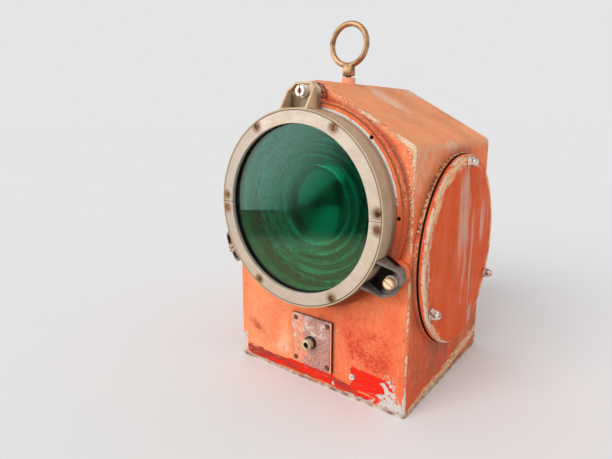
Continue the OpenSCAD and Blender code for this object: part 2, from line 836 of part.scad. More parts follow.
// Seat ring between the stepped lens and its ledge
module step_lens_seat() {
    color([0.10, 0.10, 0.10]) on_front(lens_z)
        ring(lens_r, ledge_r + seat_gap, ledge_t - spigot_l, lens_seat_t);
}

// Spring ring in its groove in front of the stepped lens
module step_lens_clip() {
    color([0.55, 0.55, 0.52]) on_front(lens_z) difference() {
        ring(lens_bore_r + clip_groove - clip_play, lens_bore_r - clip_reach, lens_rim_front, clip_t);
        translate([-clip_gap / 2, -lens_bore_r - 2 * clip_groove, lens_rim_front - cut])
            cube([clip_gap, lens_bore_r, clip_t + 2 * cut]);
    }
}

// Round inspection cover with a spigot that centres it in the flange
module side_cover() {
    spigot = cover_hole_r - 2 * seat_gap;
    color([0.74, 0.28, 0.16]) on_right() difference() {
        rotate_extrude() polygon([[0, cover_back - cover_spigot_h], [spigot, cover_back - cover_spigot_h],
            [spigot, cover_back], [cover_r, cover_back], [cover_r, cover_front - cover_bevel],
            [cover_r - cover_bevel, cover_front], [0, cover_front]]);
        at_angles(cover_screw_angles, cover_screw_r)
            hole(cover_screw_d / 2 + hole_gap, cover_back - cut, cover_front + cut);
    }
}

// Rubber ring between the cover and the flange
module cover_gasket() {
    color([0.08, 0.08, 0.08]) on_right() difference() {
        ring(cover_r - cover_bevel, cover_hole_r + 2 * seat_gap, side_flange_t, gasket_t);
        at_angles(cover_screw_angles, cover_screw_r)
            hole(cover_screw_d / 2 + hole_gap, side_flange_t - cut, cover_back + cut);
    }
}

// Dome-headed screws that hold the cover
module cover_screws() {
    seat = cover_front + cover_washer_t;
    dome_r = cover_head_d * 0.42;
    color([0.66, 0.62, 0.55]) on_right() at_angles(cover_screw_angles, cover_screw_r) {
        translate([0, 0, seat]) cylinder(r = cover_head_d / 2, h = cover_head_h, $fn = 6);
        hole(cover_screw_d / 2, 0, seat + cut / 2);
        intersection() {
            translate([0, 0, seat + cover_head_h]) sphere(dome_r);
            hole(dome_r + cut, seat + cut, seat + cover_head_h + dome_r + cut);
        }
    }
}

// Washers under the cover screws
module cover_washers() {
    color([0.68, 0.66, 0.62]) on_right() at_angles(cover_screw_angles, cover_screw_r)
        ring(cover_washer_d / 2, cover_screw_d / 2 + hole_gap, cover_front, cover_washer_t);
}

// Plate that carries the cable gland
module gland_plate() {
    color([0.66, 0.52, 0.48]) on_front(gland_z) difference() {
        translate([-gland_w / 2, -gland_h / 2, gland_gasket_t]) cube([gland_w, gland_h, gland_plate_t]);
        hole(gland_thread_d / 2 + thread_gap, 0, gland_plate_front + cut);
        at_corners(gland_w / 2 - gland_screw_in, gland_h / 2 - gland_screw_in)
            translate([0, 0, gland_plate_front]) csk_hole(gland_screw_d, gland_plate_t + cut);
    }
}

// Rubber sheet under the gland plate
module gland_plate_gasket() {
    color([0.08, 0.08, 0.08]) on_front(gland_z) difference() {
        translate([cut - gland_w / 2, cut - gland_h / 2, 0])
            cube([gland_w - 2 * cut, gland_h - 2 * cut, gland_gasket_t]);
        hole(gland_thread_d / 2 + hole_gap, -cut, gland_gasket_t + cut);
        at_corners(gland_w / 2 - gland_screw_in, gland_h / 2 - gland_screw_in)
            hole(gland_screw_d / 2 + hole_gap, -cut, gland_gasket_t + cut);
    }
}

// Countersunk screws that hold the gland plate
module gland_plate_screws() {
    color([0.40, 0.26, 0.18]) on_front(gland_z)
        at_corners(gland_w / 2 - gland_screw_in, gland_h / 2 - gland_screw_in)
        translate([0, 0, gland_plate_front]) csk_screw(gland_screw_d, gland_plate_front + wall_t);
}

// Gland body: a flanged tube through the plate, with a neck for the nut
module gland_body() {
    color([0.20, 0.19, 0.18]) on_front(gland_z) difference() {
        union() {
            hole(gland_thread_d / 2, gland_back, gland_plate_front + cut);
            hole(gland_flange_d / 2, gland_plate_front, gland_flange_front);
            hole(gland_neck_r, gland_flange_front - cut, gland_neck_front);
        }
        hole(cable_d / 2, gland_back - cut, gland_neck_front + cut);
    }
}

// Nut that draws the gland body tight from inside
module gland_locknut() {
    color([0.60, 0.55, 0.40]) on_front(gland_z) difference() {
        translate([0, 0, -wall_t - locknut_t]) cylinder(r = locknut_r, h = locknut_t, $fn = 6);
        hole(gland_thread_d / 2 + thread_gap, -wall_t - locknut_t - cut, cut - wall_t);
    }
}

// Rubber ring that the gland nut squeezes round the cable
module gland_seal() {
    color([0.08, 0.08, 0.08]) on_front(gland_z)
        ring(gland_neck_r - turn_gap, cable_d / 2 + thread_gap, gland_neck_front, gland_seal_t);
}

// Round gland nut that turns on the gland body's neck
module gland_nut() {
    foot = gland_flange_front + turn_gap;
    color([0.72, 0.62, 0.38]) on_front(gland_z) difference() {
        hole(gland_nut_d / 2, foot, gland_nut_front);
        hole(gland_neck_r + thread_gap, foot - cut, gland_nut_front - gland_nut_wall);
        hole(cable_d / 2 + 2 * thread_gap, foot, gland_nut_front + cut);
    }
}

// Bent strip bracket that lifts the lampholder to its height
module lamp_bracket() {
    shelf = shelf_top - base_t;
    color([0.55, 0.55, 0.53]) translate([0, bracket_back, base_t]) difference() {
        rotate([90, 0, -90]) translate([0, 0, -bracket_w / 2]) linear_extrude(bracket_w) polygon([
            [0, 0], [bracket_reach, 0], [bracket_reach, bracket_t], [bracket_t, bracket_t],
            [bracket_t, shelf - bracket_t], [bracket_reach, shelf - bracket_t], [bracket_reach, shelf],
            [0, shelf]]);
        translate([0, lamp_y - bracket_back, 0]) {
            hole(contact_x + contact_r + contact_room, shelf - bracket_t - cut, shelf + cut);
            for (sy = [-1, 1]) translate([0, sy * holder_screw_y, 0])
                hole(holder_screw_d / 2 + thread_gap, shelf - bracket_t - cut, shelf + cut);
            for (sx = [-1, 1]) translate([sx * bracket_screw_x, 0, 0])
                hole(bracket_screw_d / 2 + hole_gap, -cut, bracket_t + cut);
        }
    }
}

// Screws that hold the bracket on the base plate
module bracket_screws() {
    color([0.60, 0.60, 0.58]) for (sx = [-1, 1])
        translate([sx * bracket_screw_x, lamp_y, base_t + bracket_t])
        small_screw(bracket_screw_d, bracket_t + base_t - csk_sink);
}

// Ceramic base of the lampholder
module lampholder_base() {
    color([0.86, 0.84, 0.78]) translate([0, lamp_y, 0]) difference() {
        hole(holder_base_r, shelf_top, sleeve_foot);
        for (sx = [-1, 1]) translate([sx * contact_x, 0, 0])
            hole(contact_r + thread_gap, shelf_top - cut, sleeve_foot + cut);
        for (sy = [-1, 1]) translate([0, sy * holder_screw_y, 0])
            hole(holder_screw_d / 2 + hole_gap, shelf_top - cut, sleeve_foot + cut);
    }
}

// Slot for one bayonet pin: a level leg for the turn and an open leg up to the rim
module bayonet_slot() {
    rotate([0, 0, -slot_play]) rotate_extrude(angle = bayonet_turn + 2 * slot_play)
        translate([sleeve_in_r - cut, pin_z - slot_half]) square([sleeve_t + 2 * cut, 2 * slot_half]);
    rotate([0, 0, bayonet_turn]) translate([0, -slot_half, pin_z - slot_half])
        cube([sleeve_r + cut, 2 * slot_half, sleeve_top - pin_z + slot_half + cut]);
}

// Brass bayonet sleeve with its foot flange
module lampholder_shell() {
    color([0.76, 0.62, 0.34]) translate([0, lamp_y, 0]) difference() {
        rotate_extrude() polygon([[sleeve_in_r, sleeve_foot], [holder_flange_r, sleeve_foot],
            [holder_flange_r, sleeve_foot + sleeve_flange_t], [sleeve_r, sleeve_foot + sleeve_flange_t],
            [sleeve_r, sleeve_top], [sleeve_in_r, sleeve_top]]);
        for (a = [0, 180]) rotate([0, 0, a]) bayonet_slot();
        for (sy = [-1, 1]) translate([0, sy * holder_screw_y, 0])
            hole(holder_screw_d / 2 + hole_gap, sleeve_foot - cut, sleeve_foot + sleeve_flange_t + cut);
    }
}

// Screws through the lampholder into the bracket's shelf
module lampholder_screws() {
    grip = sleeve_flange_t + holder_base_t + bracket_t;
    color([0.60, 0.60, 0.58]) for (sy = [-1, 1])
        translate([0, lamp_y + sy * holder_screw_y, sleeve_foot + sleeve_flange_t])
        small_screw(holder_screw_d, grip + tip_gap);
}

// Contact posts that carry the current from the wires to the bulb
module lampholder_contacts() {
    color([0.78, 0.62, 0.32]) for (sx = [-1, 1]) translate([sx * contact_x, lamp_y, 0])
        hole(contact_r, contact_foot, contact_top);
}

// Cap of the bulb, with its two bayonet pins
module bulb_cap() {
    color([0.78, 0.66, 0.40]) translate([0, lamp_y, 0]) difference() {
        union() {
            hole(cap_r, cap_foot, cap_top);
            translate([0, 0, pin_z]) rotate([0, 90, 0])
                translate([0, 0, -cap_r - pin_reach]) cylinder(r = pin_r, h = 2 * (cap_r + pin_reach));
        }
        hole(neck_r + thread_gap, cap_floor, cap_top + cut);
    }
}

// Round glass envelope of the bulb, with its neck in the cap
module bulb_glass() {
    bulb_r = bulb_d / 2;
    inner_r = neck_r - bulb_wall_t;
    join = asin(neck_r / bulb_r) - 90;
    inner_join = asin(inner_r / (bulb_r - bulb_wall_t)) - 90;
    color([0.90, 0.93, 0.92, 0.5]) translate([0, lamp_y, 0]) rotate_extrude() polygon(concat(
        [[inner_r, cap_floor], [neck_r, cap_floor]],
        arc([0, lens_z], bulb_r, join, 90, 4 * arc_steps),
        arc([0, lens_z], bulb_r - bulb_wall_t, 90, inner_join, 4 * arc_steps)));
}

// Glass stem with the support wires and the filament
module bulb_mount() {
    stem_r = 2.5;
    foot_r = neck_r - bulb_wall_t - 2 * thread_gap;
    stem_top = lens_z - bulb_d / 4;
    arm_x = bulb_d / 6;
    lead_r = 0.5;
    color([0.55, 0.55, 0.56]) translate([0, lamp_y, 0]) {
        hole(foot_r, cap_floor, cap_floor + 2);
        hole(stem_r, cap_floor + 1, stem_top);
        translate([-arm_x, 0, stem_top - 1]) rotate([0, 90, 0]) cylinder(r = lead_r, h = 2 * arm_x);
        for (sx = [-1, 1]) translate([sx * arm_x, 0, 0]) hole(lead_r, stem_top - 1, lens_z);
        translate([-arm_x - lead_r, 0, lens_z]) rotate([0, 90, 0])
            cylinder(r = lead_r, h = 2 * (arm_x + lead_r));
    }
}

// Ceramic terminal block on the base plate
module terminal_block() {
    color([0.84, 0.82, 0.76]) translate([0, -block_y, base_t]) difference() {
        translate([-block_w / 2, -block_d / 2, 0]) cube([block_w, block_d, block_h]);
        hole(holder_screw_d / 2 + hole_gap, -cut, block_h + cut);
        for (sx = [-1, 1]) translate([sx * terminal_x, 0, 0])
            hole(holder_screw_d / 2 + thread_gap, block_h / 2, block_h + cut);
    }
}

// Clamp screws of the terminals and the screw that holds the block
module terminal_screws() {
    color([0.76, 0.62, 0.34]) translate([0, -block_y, base_t + block_h]) {
        for (sx = [-1, 1]) translate([sx * terminal_x, 0, 0])
            small_screw(holder_screw_d, block_h / 2 - tip_gap);
        small_screw(holder_screw_d, block_h + base_t - csk_sink);
    }
}

// Height of a wire at a share of its rise from the terminal block to the contact post
function rise(share) = wire_z + (contact_foot - wire_z) * share;

// Points of one wire on its right-hand side, from the terminal block to a contact post
wire_route = [[terminal_x, block_d / 2 - block_y, wire_z], [terminal_x, -44, wire_z],
    [10, -26, rise(0.03)], [7, -9, rise(0.09)], [4.5, 1, rise(0.25)], [contact_x, lamp_y, rise(0.45)],
    [contact_x, lamp_y, rise(0.7)], [contact_x, lamp_y, contact_foot]];

// Smooth curve through the points, a few places to each span
function bend(p, q, r, s, u) = 0.5 * (2 * q + (r - p) * u + (2 * p - 5 * q + 4 * r - s) * u * u
    + (3 * q - p - 3 * r + s) * u * u * u);
function smooth(points, steps) = let (last = len(points) - 1) concat(
    [for (i = [0:last - 1], k = [0:steps - 1])
        bend(points[max(i - 1, 0)], points[i], points[i + 1], points[min(i + 2, last)], k / steps)],
    [points[last]]);

// Round wire swept along a route that runs backwards and then up, mirrored by side
module wire(side) {
    sides = 8;
    steps = 3;
    path = [for (p = smooth(wire_route, steps)) [side * p[0], p[1], p[2]]];
    last = len(path) - 1;
    along = [for (i = [0:last]) i == 0 ? [0, 1, 0] : i == last ? [0, 0, 1] : path[i + 1] - path[i - 1]];
    points = [for (i = [0:last]) let (v = cross([1, 0, 0], along[i] / norm(along[i])),
        b = v / norm(v)) each [for (k = [0:sides - 1]) let (a = 360 * k / sides)
            path[i] + wire_d / 2 * (cos(a) * [1, 0, 0] + sin(a) * b)]];
    walls = [for (i = [0:last - 1], k = [0:sides - 1]) let (j = (k + 1) % sides) each
        [[i * sides + k, (i + 1) * sides + k, (i + 1) * sides + j],
        [i * sides + k, (i + 1) * sides + j, i * sides + j]]];
    caps = [[for (k = [0:sides - 1]) k], [for (k = [sides - 1:-1:0]) last * sides + k]];
    polyhedron(points, concat(walls, caps), convexity = 4);
}

// Wire to the right-hand contact
module wire_live() {
    color([0.45, 0.18, 0.10]) wire(1);
}

// Wire to the left-hand contact
module wire_return() {
    color([0.10, 0.18, 0.40]) wire(-1);
}

front_wall();
back_wall();
left_wall();
right_wall();
roof_left();
roof_right();
roof_boss();
base_plate();
base_screws();
front_collar();
side_flange();
earth_screw();
lifting_eye();
eye_stud();
eye_washer();
eye_nut();
bezel_ring();
retaining_ring_upper();
retaining_ring_lower();
retaining_screws();
colour_glass();
glass_gasket_front();
glass_gasket_rear();
lug_bolts();
lug_washers();
bezel_gasket();
step_lens();
step_lens_seat();
step_lens_clip();
side_cover();
cover_gasket();
cover_screws();
cover_washers();
gland_plate();
gland_plate_gasket();
gland_plate_screws();
gland_body();
gland_locknut();
gland_seal();
gland_nut();
lamp_bracket();
bracket_screws();
lampholder_base();
lampholder_shell();
lampholder_screws();
lampholder_contacts();
bulb_cap();
bulb_glass();
bulb_mount();
terminal_block();
terminal_screws();
wire_live();
wire_return();
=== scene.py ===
import math

import bmesh
import bpy
import numpy as np
from mathutils import Matrix, Vector


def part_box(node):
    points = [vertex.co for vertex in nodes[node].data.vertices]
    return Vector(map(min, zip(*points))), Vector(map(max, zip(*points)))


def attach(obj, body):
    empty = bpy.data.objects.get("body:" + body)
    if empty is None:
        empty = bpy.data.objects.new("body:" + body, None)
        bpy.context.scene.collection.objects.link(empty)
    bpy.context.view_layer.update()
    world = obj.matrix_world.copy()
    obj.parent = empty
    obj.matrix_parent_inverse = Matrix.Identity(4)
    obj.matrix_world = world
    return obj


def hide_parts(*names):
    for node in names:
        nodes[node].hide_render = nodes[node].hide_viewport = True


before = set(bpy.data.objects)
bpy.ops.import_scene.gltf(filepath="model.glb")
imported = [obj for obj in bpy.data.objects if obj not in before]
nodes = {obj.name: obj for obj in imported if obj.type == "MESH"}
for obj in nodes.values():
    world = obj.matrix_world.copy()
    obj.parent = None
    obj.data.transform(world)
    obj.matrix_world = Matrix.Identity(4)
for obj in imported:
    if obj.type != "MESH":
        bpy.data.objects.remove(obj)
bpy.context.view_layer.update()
scene = bpy.context.scene
MM = 0.001

# Camera: a little above the lantern and to the right of its front, with a wide lens.
# Its place, turn and picture centre were fitted to the lantern's edges and circles.
CAMERA_PLACE = (333.84, -586.33, 340.75)
CAMERA_AZIMUTH = math.radians(39.23)
CAMERA_ELEVATION = math.radians(10.81)
CAMERA_ROLL = math.radians(-0.37)
PICTURE_SIZE = (612, 459)
PICTURE_CENTRE = (287.16, 210.76)
FOCAL_PIXELS = 467.84

camera_back = Vector((math.sin(CAMERA_AZIMUTH) * math.cos(CAMERA_ELEVATION),
                      -math.cos(CAMERA_AZIMUTH) * math.cos(CAMERA_ELEVATION),
                      math.sin(CAMERA_ELEVATION)))
camera_right = Vector((math.cos(CAMERA_AZIMUTH), math.sin(CAMERA_AZIMUTH), 0))
camera_turn = Matrix((camera_right, camera_back.cross(camera_right), camera_back)).transposed()
camera = bpy.data.objects.new("camera", bpy.data.cameras.new("camera"))
camera.data.lens = FOCAL_PIXELS / PICTURE_SIZE[0] * camera.data.sensor_width
camera.data.shift_x = (PICTURE_SIZE[0] / 2 - PICTURE_CENTRE[0]) / PICTURE_SIZE[0]
camera.data.shift_y = (PICTURE_CENTRE[1] - PICTURE_SIZE[1] / 2) / PICTURE_SIZE[0]
camera.data.clip_start = 0.01
camera.matrix_world = (Matrix.Translation(Vector(CAMERA_PLACE) * MM)
                       @ (camera_turn @ Matrix.Rotation(CAMERA_ROLL, 3, "Z")).to_4x4())
scene.collection.objects.link(camera)
scene.camera = camera

# Studio: a pale floor in even light from all round, with a soft sun from the left front.
# A board stands at the left front, outside the picture, lit at one end and dark at the other, with
# a brown apron before it. Only glass and metal mirror them: they draw the level line across the lens.
FLOOR_REACH = 40000.0
FLOOR_GREY, FLOOR_PALE, SKY_GREY = 234, 237, 229
SKY_STRENGTH = 0.64
SUN_STRENGTH = 1.75
SUN_WIDTH = math.radians(45)
SUN_FROM = (-0.16, -0.86, 0.55)
BOARD_HALF_W, BOARD_FOOT, BOARD_TOP = 1400.0, 50.0, 1200.0
BOARD_AWAY, APRON_AWAY, APRON_HEIGHT = 1000.0, 250.0, 3.0
BOARD_DARK_END, BOARD_LIT_END, BOARD_LEAN = -80.0, 280.0, 0.9
APRON_LIT_TO, APRON_DARK_FROM = 640.0, 970.0
APRON_BLACK_END, APRON_DARK_END = -80.0, 160.0
BOARD_LIT = (2.2, 2.25, 2.16, 1.0)
BOARD_DARK = (0.02, 0.02, 0.02, 1.0)
APRON_BROWN = (1.1, 0.8, 0.46, 1.0)
APRON_DARK = (0.5, 0.36, 0.22, 1.0)
APRON_BLACK = (0.04, 0.03, 0.02, 1.0)


def srgb(red, green, blue):
    """Screen colour, 0 to 255 a channel, as the linear colour that a shader takes."""
    share = [value / 255 for value in (red, green, blue)]
    return tuple(s / 12.92 if s < 0.04045 else ((s + 0.055) / 1.055) ** 2.4 for s in share) + (1.0,)


class Shade:
    """A number, place or colour inside a finish. Each sum on it adds a node and gives a new shade."""

    def __init__(self, finish, socket):
        self.finish = finish
        self.socket = socket

    def __add__(self, other):
        return self.finish.calc("ADD", self, other)

    def __mul__(self, other):
        return self.finish.calc("MULTIPLY", self, other)

    def __sub__(self, other):
        return self.finish.calc("SUBTRACT", self, other)

    def __rsub__(self, other):
        return self.finish.calc("SUBTRACT", other, self)

    def most(self, other):
        """The larger of two numbers."""
        return self.finish.calc("MAXIMUM", self, other)

    def ramp(self, low, high, top=1.0):
        """Smooth step from 0 at low to top at high."""
        feeds = {"Value": self, "From Min": low, "From Max": high, "To Max": top}
        return self.finish.add("ShaderNodeMapRange", "Result", feeds, interpolation_type="SMOOTHSTEP")

    def band(self, low, high, soft):
        """1 between two values, falling to 0 over soft on both sides."""
        return self.ramp(low - soft, low + soft) * (1.0 - self.ramp(high - soft, high + soft))

    def tear(self, mask, gain=1.6, soft=0.07):
        """A mask with its edge torn by this noise: 1 where mask plus noise comes over one half."""
        return ((self - 0.5) * gain + mask).ramp(0.5 - soft, 0.5 + soft)


class Finish:
    """A procedural material. Its methods add nodes and hand back the shade to go on from."""

    def __init__(self, name):
        self.material = bpy.data.materials.new(name)
        self.material.use_nodes = True
        self.tree = self.material.node_tree
        self.shader = self.tree.nodes["Principled BSDF"]
        self.place = self.add("ShaderNodeTexCoord", "Object", {})

    def feed(self, node, feeds):
        """Link shades to a node's inputs, or set the inputs to constants."""
        for key, value in feeds.items():
            if isinstance(value, Shade):
                self.tree.links.new(value.socket, node.inputs[key])
            else:
                node.inputs[key].default_value = value

    def add(self, kind, out, feeds, **settings):
        """One of the outputs of a new node with some settings and inputs."""
        node = self.tree.nodes.new(kind)
        for key, value in settings.items():
            setattr(node, key, value)
        self.feed(node, feeds)
        return Shade(self, node.outputs[out])

    def calc(self, operation, first, second=0.0):
        """One sum on two numbers."""
        return self.add("ShaderNodeMath", 0, {0: first, 1: second}, operation=operation)

    def vector(self, operation, first, second=(0, 0, 0), out=0):
        """One sum on two vectors."""
        return self.add("ShaderNodeVectorMath", out, {0: first, 1: second}, operation=operation)

    def noise(self, size, detail=5.0, stretch=(1, 1, 1), shift=0.0, place=None):
        """Fractal noise with spots of a size in millimetres, drawn out along the axes by stretch."""
        scale = [1 / (size * MM * s) for s in stretch]
        spread = self.add("ShaderNodeMapping", "Vector", {"Vector": place or self.place, "Scale": scale,
                                                          "Location": (shift, shift, shift)})
        return self.add("ShaderNodeTexNoise", "Fac", {"Vector": spread, "Scale": 1.0, "Detail": detail,
                                                      "Roughness": 0.6})

    def mix(self, share, under, over):
        """Colour under with a share of colour over on it."""
        return self.add("ShaderNodeMix", 2, {0: share, 6: under, 7: over}, data_type="RGBA")

    def layer(self, tone, *marks):
        """Colour tone with marks over it in turn, each a share and a colour."""
        for share, colour in marks:
            tone = self.mix(share, tone, colour)
        return tone

    def attribute(self, name):
        """A number kept for each vertex of the mesh."""
        return self.add("ShaderNodeAttribute", "Fac", {}, attribute_name=name)

    def axis(self, name):
        """One of the Object coordinates, in millimetres."""
        return self.add("ShaderNodeSeparateXYZ", name, {0: self.place}) * (1 / MM)

    def off_line(self, point, along):
        """Distance in millimetres from the line through a point along X, Y or Z."""
        away = self.vector("SUBTRACT", self.place, [value * MM for value in point])
        flat = self.vector("MULTIPLY", away, [0.0 if axis == along else 1.0 for axis in "XYZ"])
        return self.vector("LENGTH", flat, out="Value") * (1 / MM)

    def round_place(self, height, arc_r):
        """Place about the line along X at a height: distance from it and arc length round it."""
        turn = self.calc("ARCTAN2", self.axis("Z") - height, self.axis("Y") * -1.0)
        away = self.off_line((0, 0, height), "X")
        return self.add("ShaderNodeCombineXYZ", 0, {0: away * MM, 1: turn * (arc_r * MM)})

    def coat(self, colour, rough, relief=None, depth=0.2, metal=0.0, gloss=0.5):
        """Fill the shader: colour, roughness, metal share, gloss and a relief of a depth in millimetres."""
        self.feed(self.shader, {"Base Color": colour, "Roughness": rough, "Metallic": metal,
                                "Specular IOR Level": gloss})
        if relief is not None:
            feeds = {"Height": relief, "Distance": depth * MM, "Strength": 1.0}
            self.feed(self.shader, {"Normal": self.add("ShaderNodeBump", "Normal", feeds)})

    def clear(self, share, bend):
        """Make it glass: the share of light that passes, and how strongly the glass bends it."""
        self.feed(self.shader, {"Transmission Weight": share, "IOR": bend})


def mesh_object(name, points, faces, finish, sharp=None):
    """Object from points in millimetres and faces, with one finish and faces that point outwards."""
    mesh = bpy.data.meshes.new(name)
    mesh.from_pydata((np.asarray(points).reshape(-1, 3) * MM).tolist(), [], np.asarray(faces).tolist())
    work = bmesh.new()
    work.from_mesh(mesh)
    bmesh.ops.remove_doubles(work, verts=work.verts, dist=0.002 * MM)
    bmesh.ops.recalc_face_normals(work, faces=work.faces)
    work.to_mesh(mesh)
    work.free()
    mesh.shade_smooth()
    if sharp is not None:
        mesh.set_sharp_from_angle(angle=math.radians(sharp))
    mesh.materials.append(finish.material)
    made = bpy.data.objects.new(name, mesh)
    scene.collection.objects.link(made)
    return made


floor_finish = Finish("floor")
floor_tone = floor_finish.mix(floor_finish.noise(400), srgb(FLOOR_GREY, FLOOR_GREY, FLOOR_GREY),
                              srgb(FLOOR_PALE, FLOOR_PALE, FLOOR_PALE))
floor_finish.coat(floor_tone, 0.9, gloss=0.0)
floor_corners = np.array([[-1, -1, 0], [1, -1, 0], [1, 1, 0], [-1, 1, 0]]) * FLOOR_REACH
floor = mesh_object("floor", floor_corners, [[0, 1, 2, 3]], floor_finish)
sun = bpy.data.objects.new("sun", bpy.data.lights.new("sun", "SUN"))
sun.data.energy = SUN_STRENGTH
sun.data.angle = SUN_WIDTH
sun.rotation_euler = Vector(SUN_FROM).to_track_quat("Z", "Y").to_euler()
scene.collection.objects.link(sun)

glass_low, glass_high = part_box("colour_glass")
glass_middle = (glass_low + glass_high) / 2 / MM
mirrored_eye = Vector((camera.location.x, 2 * glass_low.y - camera.location.y, 0))
board_way = (Vector((glass_middle.x * MM, glass_low.y, 0)) - mirrored_eye).normalized()
board_side = Vector((board_way.y, -board_way.x, 0))
board_points = [glass_middle + board_way * away + board_side * reach for away in
                (APRON_AWAY, BOARD_AWAY, BOARD_AWAY) for reach in (-BOARD_HALF_W, BOARD_HALF_W)]
board_heights = np.repeat([APRON_HEIGHT, APRON_HEIGHT, BOARD_TOP], 2)
board_finish = Finish("board")
board_across = board_finish.vector("DOT_PRODUCT", board_finish.place, board_side, "Value") * (1 / MM)
board_along = board_finish.vector("DOT_PRODUCT", board_finish.place, board_way, "Value") * (1 / MM)
board_height = board_finish.axis("Z")
board_zero = board_side.dot(glass_middle)
board_near = board_way.dot(glass_middle)
board_share = (board_across + (board_height - BOARD_FOOT) * BOARD_LEAN).ramp(
    board_zero + BOARD_DARK_END, board_zero + BOARD_LIT_END)
apron_share = board_along.ramp(board_near + APRON_LIT_TO, board_near + APRON_DARK_FROM)
apron_share = board_finish.noise(120, detail=6).tear(apron_share, gain=0.9, soft=0.45)
apron_shade = board_across.ramp(board_zero + APRON_BLACK_END, board_zero + APRON_DARK_END)
apron_far = board_finish.mix(apron_shade, APRON_BLACK, APRON_DARK)
apron_glow = board_finish.mix(apron_share, APRON_BROWN, apron_far)
board_glow = board_finish.mix(board_height.ramp(BOARD_FOOT - 1, BOARD_FOOT + 1), apron_glow,
                              board_finish.mix(board_share, BOARD_DARK, BOARD_LIT))
board_finish.coat(srgb(12, 12, 12), 0.9)
board_finish.feed(board_finish.shader, {"Emission Color": board_glow, "Emission Strength": 1.0})
board_corners = np.column_stack([np.array(board_points)[:, :2], board_heights])
board = mesh_object("board", board_corners, [[0, 1, 3, 2], [2, 3, 5, 4]], board_finish)
board.visible_camera = False
board.visible_diffuse = False
board.visible_shadow = False

sky = bpy.data.worlds.new("sky")
sky.use_nodes = True
scene.world = sky
sky_nodes = sky.node_tree.nodes
sky_light = sky_nodes["Background"]
sky_shown = sky_nodes.new("ShaderNodeBackground")
for sky_part, grey, strength in ((sky_light, 255, SKY_STRENGTH), (sky_shown, SKY_GREY, 1.0)):
    sky_part.inputs["Color"].default_value = srgb(grey, grey, grey)
    sky_part.inputs["Strength"].default_value = strength
sky_path = sky_nodes.new("ShaderNodeLightPath")
sky_mirrored = sky_nodes.new("ShaderNodeMath")
sky_mirrored.operation = "ADD"
sky_seen = sky_nodes.new("ShaderNodeMath")
sky_seen.operation = "ADD"
sky_seen.use_clamp = True
sky_choice = sky_nodes.new("ShaderNodeMixShader")
for socket, goal in ((sky_path.outputs["Is Glossy Ray"], sky_mirrored.inputs[0]),
                     (sky_path.outputs["Is Transmission Ray"], sky_mirrored.inputs[1]),
                     (sky_path.outputs["Is Camera Ray"], sky_seen.inputs[0]),
                     (sky_mirrored.outputs[0], sky_seen.inputs[1]),
                     (sky_seen.outputs[0], sky_choice.inputs["Fac"]),
                     (sky_light.outputs[0], sky_choice.inputs[1]),
                     (sky_shown.outputs[0], sky_choice.inputs[2]),
                     (sky_choice.outputs[0], sky_nodes["World Output"].inputs["Surface"])):
    sky.node_tree.links.new(socket, goal)
scene.view_settings.view_transform = "Standard"

# Housing: one light-alloy casting with a gable roof, its edges soft from the mould.
# Its orange paint is chalky on the roof, chipped to cream primer along the edges, and worn
# through to red paint and bare metal along the foot. Inside it is painted off-white.
base_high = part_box("base_plate")[1]
roof_low, roof_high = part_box("roof_right")
HALF_W = base_high.x / MM
HALF_D = base_high.y / MM
FOOT = base_high.z / MM
WALL_T = 4.0
EAVE_R = 10.0
RIDGE_R = 14.0
EDGE_R = 5.0
EAVE_CZ = roof_low.z / MM
RIDGE_CZ = roof_high.z / MM - RIDGE_R
ROOF_RUN = HALF_W - EAVE_R
ROOF_SLOPE = (math.atan2(RIDGE_CZ - EAVE_CZ, ROOF_RUN)
              + math.asin((RIDGE_R - EAVE_R) / math.hypot(RIDGE_CZ - EAVE_CZ, ROOF_RUN)))
RIDGE_TOP = RIDGE_CZ + RIDGE_R / math.cos(ROOF_SLOPE)
LENS_Z = glass_middle.z
LENS_HOLE_R = 112.4
cover_low, cover_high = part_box("side_cover")
COVER_Z = (cover_low.z + cover_high.z) / 2 / MM
COVER_HOLE_R = 100.0
FLANGE_R = 121.0
gland_low, gland_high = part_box("gland_plate")
GLAND_Z = (gland_low.z + gland_high.z) / 2 / MM
COLLAR_SEAT_R, COVER_SEAT_R, SEAT_HALF_W = 118.0, 111.0, 16.0
GLAND_SEAT = (36.0, 39.0)
FAR_OFF = 99.0
BACK_HUB_Z = 200.0
WAVE_HEIGHT = 0.35
WALL_STEPS, ARC_STEPS, ROOF_STEPS, DEPTH_STEPS, EDGE_STEPS = 72, 6, 34, 60, 5
FRONT_RINGS, BACK_RINGS, SIDE_RINGS, FOOT_STEPS = 30, 32, 18, 60
EARTH_X, EARTH_Z, EARTH_SCRAPED_R = 60.0, 30.0, 3.6
# Places along a wall, then the height of a mark or its share there
SIDE_WORN_TOP = ([-HALF_D, -100, -18, HALF_D], [6, 9, 15, 31])
SIDE_WORN_SHARE = ([-120, -70, 40], [0.5, 0.85, 1.0])
RED_TOP = ([-123, -45, -30, 30, 45, 70], [22, 20, 23, 22, 18, 13])
RED_DULL_SHARE = ([-119, -60, -25, 20, 40, 56, 62], [0.66, 0.62, 0.36, 0.3, 0.56, 0.56, 0.2])
# Spots: across, up, width, height, reach and strength
FRONT_SCUFFS = ((-49, 52, 1, 2.4, 12, 0.8), (39, 80, 1, 1, 8, 0.7), (-112, 90, 1, 4, 9, 0.55),
                (-60, 33, 2.4, 1, 9, 0.8))
BACK_SCUFFS = ((30, 130, 2.2, 1, 28, 2.6), (-62, 225, 1, 2, 24, 2.6))
BACK_SPECKS = ((-25, 66, 1.6, 1, 26, 0.95),)
LEFT_SPECKS = ((30, 150, 1.4, 1, 30, 0.9),)

